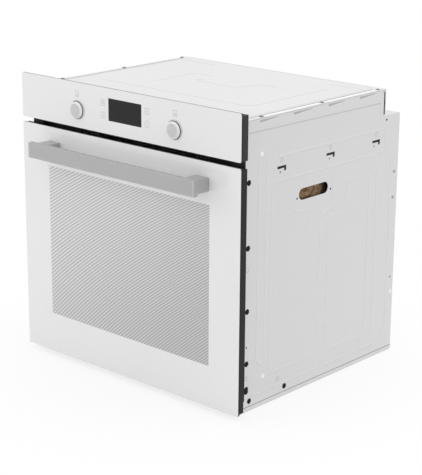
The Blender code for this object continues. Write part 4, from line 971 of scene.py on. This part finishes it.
# %% A helper for thin prisms
# two grey finishes for painted shade: the shadow line beside the cover's lip, and the wedge shadows under its
# cut edge
CREASE_SHADOW = grained("crease_shadow", grey(0.16), grey(0.20), 0.6, 400.0, 0.00001)
WEDGE = grained("lip_shadow", grey(0.40), grey(0.45), 0.6, 400.0, 0.00001)


def prism(name, outline, along, finish):
    """A thin solid: an outline and a copy of it further along."""
    count = len(outline)
    points = list(outline) + [Vector(point) + Vector(along) for point in outline]
    faces = [list(range(count)), list(range(2 * count - 1, count - 1, -1))]
    faces += [[(step + 1) % count, step, step + count, (step + 1) % count + count] for step in range(count)]
    work = bmesh.new()
    corners = [work.verts.new(point) for point in points]
    for face in faces:
        work.faces.new([corners[index] for index in face])
    bmesh.ops.recalc_face_normals(work, faces=work.faces)
    mesh = mesh_from(work, name)
    smooth(mesh)
    settle(piece(name, mesh, finish), "oven", "zinc_sheet")


def block(name, low, high, side, out, thick):
    """A flat black plate, painted shade, on a side panel between two (depth, height) corners."""
    outline = [on_side(side, *corner, out) for corner in (low, (high[0], low[1]), high, (low[0], high[1]))]
    prism(name, outline, (side * thick / 1000, 0, 0), BLACK_COAT)


print("shades beside the plates:", CREASE_SHADOW.name, WEDGE.name)


# %% Make the plates, the seals and the wedges
SLOT_SHADE_PLATE = (11, 455, 477)  # mm: half the length, the lower edge and the upper edge
SHADE_PLATE_OUT, SHADE_PLATE_THICK = -1.6, 0.3  # mm, from the outside of the sheet
# a black strip in the joint between the side panel and the base: a painted shadow line
BASE_SHADOW_STRIP = ((22.6, 9.3), (517.0, 10.1))
SHADOW_STRIP_OUT, SHADOW_STRIP_THICK = -0.6, 0.65
WEDGES = ((74, 128), (172, 229), (278, 329), (377, 434), (457, 465))  # mm: where each starts and ends
WEDGE_START, WEDGE_END = (564.2, 568.6), (568.0, 568.9)  # its lower and upper edge at either end
WEDGE_THICK = 0.00012
half, lower, upper = SLOT_SHADE_PLATE
for name, side in SIDES:
    # black plates behind each slot and each small hole: painted shade
    for index, (depth, _) in enumerate(SLOTS):
        block(f"slot_back_{name}_{index}", (depth - half, lower), (depth + half, upper), side, SHADE_PLATE_OUT,
              SHADE_PLATE_THICK)
    for index, (depth, height, radius) in enumerate(PUNCHED[len(SLOTS):]):
        block(f"hole_back_{name}_{index}", (depth - 2 * radius, height - 2 * radius),
              (depth + 2 * radius, height + 2 * radius), side, SHADE_PLATE_OUT, SHADE_PLATE_THICK)
    block(f"base_seal_{name}", *BASE_SHADOW_STRIP, side, SHADOW_STRIP_OUT, SHADOW_STRIP_THICK)
    for index, (start, end) in enumerate(WEDGES):
        corners = ((start, WEDGE_START[0]), (start, WEDGE_START[1]), (end, WEDGE_END[1]), (end, WEDGE_END[0]))
        prism(f"lip_shadow_{name}_{index}", [on_side(side, *corner) for corner in corners],
              (side * WEDGE_THICK, 0, 0), WEDGE)
print("plates, seal and wedges on each side:", len(PUNCHED) + 1 + len(WEDGES))


# %% [markdown]
# ## Plugs, rings and screws
#
# The holes down the front edge are closed with push-in plugs, each slot has a pressed ring above it to
# mark the hanging height, and cross-head screws hold the cover and the back. Each is modelled once, a
# few dozen faces, and set down wherever it belongs.

# %% Model one plug, one ring and one screw
def model_of(name, mesh):
    """A part that only serves as a pattern for copies, and is removed at the end."""
    pattern = piece(name, mesh)
    pattern.hide_render = True
    return pattern


plug = model_of("plug_pattern", spun("plug_pattern", [
    (0, 0.0011), (0.0028, 0.0010), (0.0046, 0.0007), (0.0056, 0.0002), (0.0058, -0.0002), (0, -0.0002)],
    steps=24))
ring = model_of("ring_pattern", spun("ring_pattern", [
    (0.0030, -0.0002), (0.0030, 0.0001), (0.0036, 0.0005), (0.0043, 0.0005), (0.0050, 0.0001),
    (0.0050, -0.0002), (0.0030, -0.0002)], steps=24))
CROSS_LONG, CROSS_WIDE, CROSS_FLOOR = 0.0020, 0.00035, 0.0006  # half sizes of the recess, and where it ends


def cross_head():
    """A pan head with a cross-shaped recess."""
    head = piece("screw_pattern", spun("screw_pattern", [
        (0, 0.0013), (0.0016, 0.0012), (0.0029, 0.0009), (0.0036, 0.0004), (0.0038, 0.0), (0.0038, -0.0003),
        (0, -0.0003)], steps=16))
    bits = [piece(f"bit_{index}", box_mesh(f"bit_{index}", (-x, -y, CROSS_FLOOR), (x, y, 0.003)))
            for index, (x, y) in enumerate(((CROSS_LONG, CROSS_WIDE), (CROSS_WIDE, CROSS_LONG)))]
    cut(head, bits)
    mesh = baked(head)
    for thing in bits + [head]:
        bpy.data.objects.remove(thing)
    return mesh


screw = model_of("screw_pattern", cross_head())
print("screw faces:", len(screw.data.polygons))


# %% Set the parts on the sides
PLUG_SPOTS = [(45.5, height) for height in (455.6, 329.4, 204.5, 99.0, 42.2, 47.0)]
PLUG_SPOTS += [(54.6, 20.5), (160.7, 20.5)]
RING_SPOTS = [(138.8, 483.0), (287.9, 483.0), (438.5, 483.5), (139.0, 42.0), (45.0, 287.0), (44.5, 69.4)]
SIDE_SCREWS = [(505.0, 394.5), (504.0, 339.4)]
# pale domes in the lighter copy of the sheet: painted highlights
DIMPLE_HIGHLIGHTS = [(82.0, 504.0), (510.0, 131.0), (95.0, 61.0)]


def side_spots(side, places):
    return [(on_side(side, *place), (side, 0, 0)) for place in places]


for name, side in SIDES:
    set_parts(f"plugs_{name}", plug, side_spots(side, PLUG_SPOTS), PLUG_PLASTIC, "black_plastic",
              most_turn=0.0)
    # the rings are in the darker copy of the sheet: painted shade
    set_parts(f"rings_{name}", ring, side_spots(side, RING_SPOTS), PAINTED_SHADE_SHEET, most_turn=0.0)
    set_parts(f"dimples_{name}", plug, side_spots(side, DIMPLE_HIGHLIGHTS), PAINTED_LIGHT_SHEET, size=0.8, most_turn=0.0)
    set_parts(f"side_screws_{name}", screw, side_spots(side, SIDE_SCREWS), PLATED, seed=3 + side)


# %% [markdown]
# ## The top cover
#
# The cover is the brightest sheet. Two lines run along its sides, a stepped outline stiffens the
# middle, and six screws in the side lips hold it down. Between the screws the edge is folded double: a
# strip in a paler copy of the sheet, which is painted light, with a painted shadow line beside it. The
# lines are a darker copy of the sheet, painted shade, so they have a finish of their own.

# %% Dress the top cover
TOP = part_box("top_cover")[1].z
dress("top_cover", TOP_SHEET, 0.0004)


def on_top(x, depth, out=0.0):
    return Vector((x / 1000, FRONT + depth / 1000, TOP + out / 1000))


TOP_LINES = [
    [(-254, 30), (-254, 448), (-236, 458), (236, 458), (254, 448), (254, 30)],
    [(-210, 140), (186, 140), (195, 149), (195, 375)],
    [(-118, 202), (-117, 324), (-66, 324)],
    [(-62, 290), (-61, 266), (52, 264), (66, 325), (110, 324)],
    [(-250, 429), (-155, 426)],
    [(165, 426), (245, 429)],
]
CREASE_X = 262.8  # mm from the middle, beside the folded lip, where the painted shadow line lies
LIP_INNER, LIP_OUTER = 267.6, 276.9
LIP_LOW, LIP_HIGH = -0.2, 0.9  # from the top of the cover
LIPS = ((92, 258), (272, 439))  # where each starts and ends behind the glass
SCREW_X, SCREW_DEPTHS = 270.0, (86.0, 265.0, 446.0)

# the cover's lines are in the darker copy of the sheet: painted shade
press_lines("top_lines", [[on_top(*point) for point in line] for line in TOP_LINES], (0, 0, 1), PAINTED_SHADE_SHEET,
            0.0011, 0.0003)
for name, side in SIDES:
    crease = [on_top(side * CREASE_X, depth) for depth in (30, 440)]
    press_lines(f"lip_crease_{name}", [crease], (0, 0, 1), CREASE_SHADOW, 0.0012, 0.0003)
    # each folded lip is a box in the paler sheet: painted light
    for index, (start, end) in enumerate(LIPS):
        low, high = sorted((side * LIP_INNER, side * LIP_OUTER))
        bevelled_box(f"lip_{name}_{index}", on_top(low, start, LIP_LOW), on_top(high, end, LIP_HIGH),
                     PAINTED_LIGHT_SHEET, "top_cover", 0.0004)
top_spots = [(on_top(side * SCREW_X, depth), (0, 0, 1)) for side in (-1, 1) for depth in SCREW_DEPTHS]
set_parts("top_screws", screw, top_spots, DARK_STEEL, size=1.25, seed=7)


# %% [markdown]
# ## The back
#
# The back is the outermost face, so nothing may stand out from it. Its stiffening lines are grooves, and
# its screws sit in small sunk holes. The grooves are cut with the very lines that the second tree
# sweeps, used as a Boolean cutter.

# %% Groove, drill and dress the back
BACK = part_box("rear_cover")[1].y


def on_back(x, height, out=0.0):
    return Vector((x / 1000, BACK + out / 1000, height / 1000))


BACK_SCREWS = [(x, height) for x in (-262, 262) for height in (40.0, 190.0, 345.0, 497.0)] + [
    (x, height) for x in (-90, 90) for height in (24.0, 503.0)]
UPPER_SCREWS = [(x, height) for x in (-262, -30, 262) for height in (530.0, 560.0)]
GROOVES = [loop(0, 262, 236, 212), loop(0, 345, 150, 95)]
SINK_RADIUS, SINK_DEPTH, HEAD_DEPTH = 0.0052, 0.003, 1.8  # m, m, and mm from the back to a sunk head

groove_paths = [[on_back(*point) for point in groove] for groove in GROOVES]
groove_cutter = grow(piece("groove_cutter", path_mesh("groove_cutter", groove_paths)), PRESS_LINES,
                     Facing=(0, 1, 0), Corner_radius=0.02, Half_width=0.003, Height=0.0005, Finish=SHEET)
cutters = [groove_cutter] + [drill(f"sink_{index}", on_back(*at), (0, 1, 0), SINK_RADIUS, SINK_DEPTH)
                             for index, at in enumerate(BACK_SCREWS)]
back_cover = dress("rear_cover", SHEET, 0.0003, cutters)
for cutter in cutters:
    bpy.data.objects.remove(cutter)
set_parts("back_screws", screw, [(on_back(*at, -HEAD_DEPTH), (0, 1, 0)) for at in BACK_SCREWS], PLATED,
          size=1.2, seed=11)
upper_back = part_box("rear_panel")[1].y
upper_spots = [(Vector((x / 1000, upper_back, height / 1000)), (0, 1, 0)) for x, height in UPPER_SCREWS]
set_parts("upper_back_screws", screw, upper_spots, PLATED, seed=12)
print("back faces:", len(back_cover.data.polygons))


# %% [markdown]
# ## Rock wool behind the grips
#
# Where a hand reaches in to lift the oven, the insulation shows: brown, matted, in soft lumps. A grid
# pushed out by layered noise gives the lumps, and its finish gives the fibres. Real strands would look
# the same from outside the grip and cost a hundred times the faces.

# %% Raise the wool behind each grip
WOOL_LOW, WOOL_HIGH = (FRONT + 0.185, 0.386), (FRONT + 0.291, 0.422)  # y and z of the corners of a patch
GAP, STAND, LUMP = 0.0003, 0.0040, 0.0055  # m: off the flat block, mean height, and height of the lumps
COARSE, FINE = 90, 260  # lumps for each metre, roughly


def wool_patch(side, low, high, columns=46, rows=16):
    """A lumpy sheet that stands a few millimetres in front of the flat block of wool."""
    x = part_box("rock_wool")[1].x
    points, faces = [], []
    for row in range(rows + 1):
        for column in range(columns + 1):
            u, v = column / columns, row / rows
            depth, height = low[0] + (high[0] - low[0]) * u, low[1] + (high[1] - low[1]) * v
            edge = min(1.0, 6 * u, 1.6 * (1 - u), 5 * v, 3 * (1 - v))
            lump = sum(share * noise.noise(Vector((depth * scale, height * scale, side)))
                       for share, scale in ((0.6, COARSE), (0.4, FINE)))
            points.append((side * (x + GAP + edge * (STAND + LUMP * lump)), depth, height))
    for row in range(rows):
        for column in range(columns):
            first = row * (columns + 1) + column
            corners = [first, first + 1, first + columns + 2, first + columns + 1]
            faces.append(corners if side > 0 else corners[::-1])
    mesh = bpy.data.meshes.new("wool_patch")
    mesh.from_pydata(points, [], faces)
    smooth(mesh, 80.0)
    return mesh


for name, side in SIDES:
    mesh = wool_patch(side, WOOL_LOW, WOOL_HIGH)
    settle(piece(f"wool_tuft_{name}", mesh, WOOL), "oven", "rock_wool")
print("wool faces:", len(mesh.polygons))


# %% [markdown]
# ## The stage
#
# A white sweep, a large soft light overhead and a fainter one to the left. The world is white
# where the camera, a reflection or glass looks at it, and a plain pale grey where it lights the oven,
# so the background stays white without pouring more light on the sheet.

# %% Set the floor and the world
FLOOR_REACH = 14.0  # m from the middle to each edge
FLOOR_DROP = 0.0002  # m below the oven, so that the two share no face
SHADOW_NEAR, SHADOW_FAR = 0.25, 0.75  # m from the middle, where the floor's shadow fades
GLOW_NEAR = 0.80  # share of plain white in the floor beside the oven
WORLD_LIGHT = 0.90
WHITE = (1.0, 1.0, 1.0, 1.0)


def looked_at(nodes):
    """1 for a ray from the camera, a reflection or glass, and 0 for a ray that gathers light."""
    rays = nodes.add("ShaderNodeLightPath").socket.node
    camera, glossy, through = (Wire(nodes, rays.outputs[f"Is {kind} Ray"])
                               for kind in ("Camera", "Glossy", "Transmission"))
    return camera + glossy + through


work = bmesh.new()
bmesh.ops.create_grid(work, x_segments=2, y_segments=2, size=FLOOR_REACH)
white = Finish("white_floor")
lit = white.add("ShaderNodeBsdfDiffuse", sockets={"Color": (0.92, 0.92, 0.92, 1.0)})
glow = white.add("ShaderNodeEmission", sockets={"Color": WHITE, "Strength": 1.0})
away = white.add("ShaderNodeVectorMath", {"operation": "LENGTH"}, {0: white.place()}, "Value")
share = looked_at(white) * white.ease(away, SHADOW_NEAR, SHADOW_FAR, GLOW_NEAR, 1.0)
both = white.add("ShaderNodeMixShader", sockets={0: share, 1: lit, 2: glow})
white.add("ShaderNodeOutputMaterial", sockets={"Surface": both})
floor = piece("floor", mesh_from(work, "floor"), white.material)
floor.location.z = -FLOOR_DROP

world = bpy.data.worlds.new("studio")
bpy.context.scene.world = world
world.use_nodes = True
sky = Nodes(world.node_tree)
sky.tree.nodes.clear()
lighting, backdrop = (sky.add("ShaderNodeBackground", sockets={"Color": WHITE, "Strength": strength})
                      for strength in (WORLD_LIGHT, 1.0))
both = sky.add("ShaderNodeMixShader", sockets={0: looked_at(sky), 1: lighting, 2: backdrop})
sky.add("ShaderNodeOutputWorld", sockets={"Surface": both})
print("floor", 2 * FLOOR_REACH, "m wide, world", world.name)


# %% Hang the lights
MIDDLE = (0.0, 0.0, 0.3)  # where both point


def soft_light(name, place, size, watts):
    lamp = bpy.data.lights.new(name, "AREA")
    lamp.shape, lamp.size, lamp.energy = "DISK", size, watts
    thing = bpy.data.objects.new(name, lamp)
    bpy.context.scene.collection.objects.link(thing)
    thing.location = place
    thing.rotation_euler = (Vector(MIDDLE) - Vector(place)).to_track_quat("-Z", "Y").to_euler()


soft_light("overhead", (0.2, 0.6, 3.2), 5.0, 26.0)
soft_light("front_left", (-2.6, -3.0, 1.9), 2.2, 15.5)
print("lights:", len(bpy.data.lights))


# %% Set the camera
EYE = (2.00185, -2.19810, 1.14347)
FRAME_WIDTH, LENS = 36.0, 112.83082  # mm
AZIMUTH, ELEVATION, ROLL = 42.13, 16.67, 0.40  # degrees: round from the front, upwards, and tilted

azimuth, elevation, roll = (math.radians(angle) for angle in (AZIMUTH, ELEVATION, ROLL))
back = Vector((math.sin(azimuth) * math.cos(elevation), -math.cos(azimuth) * math.cos(elevation),
               math.sin(elevation)))
level = Vector((math.cos(azimuth), math.sin(azimuth), 0.0))
above = back.cross(level)
right = level * math.cos(roll) + above * math.sin(roll)
up = above * math.cos(roll) - level * math.sin(roll)
camera_data = bpy.data.cameras.new("camera")
camera_data.sensor_width, camera_data.lens = FRAME_WIDTH, LENS
camera = bpy.data.objects.new("camera", camera_data)
bpy.context.scene.collection.objects.link(camera)
camera.matrix_world = Matrix.Translation(EYE) @ Matrix((right, up, back)).transposed().to_4x4()
bpy.context.scene.camera = camera
bpy.context.scene.view_settings.view_transform = "Standard"
print("lens:", round(camera_data.lens, 2), "mm")


# %% [markdown]
# ## Clearing up
#
# The patterns have done their work.

# %% Remove the patterns
for pattern in (plug, ring, screw):
    bpy.data.objects.remove(pattern)
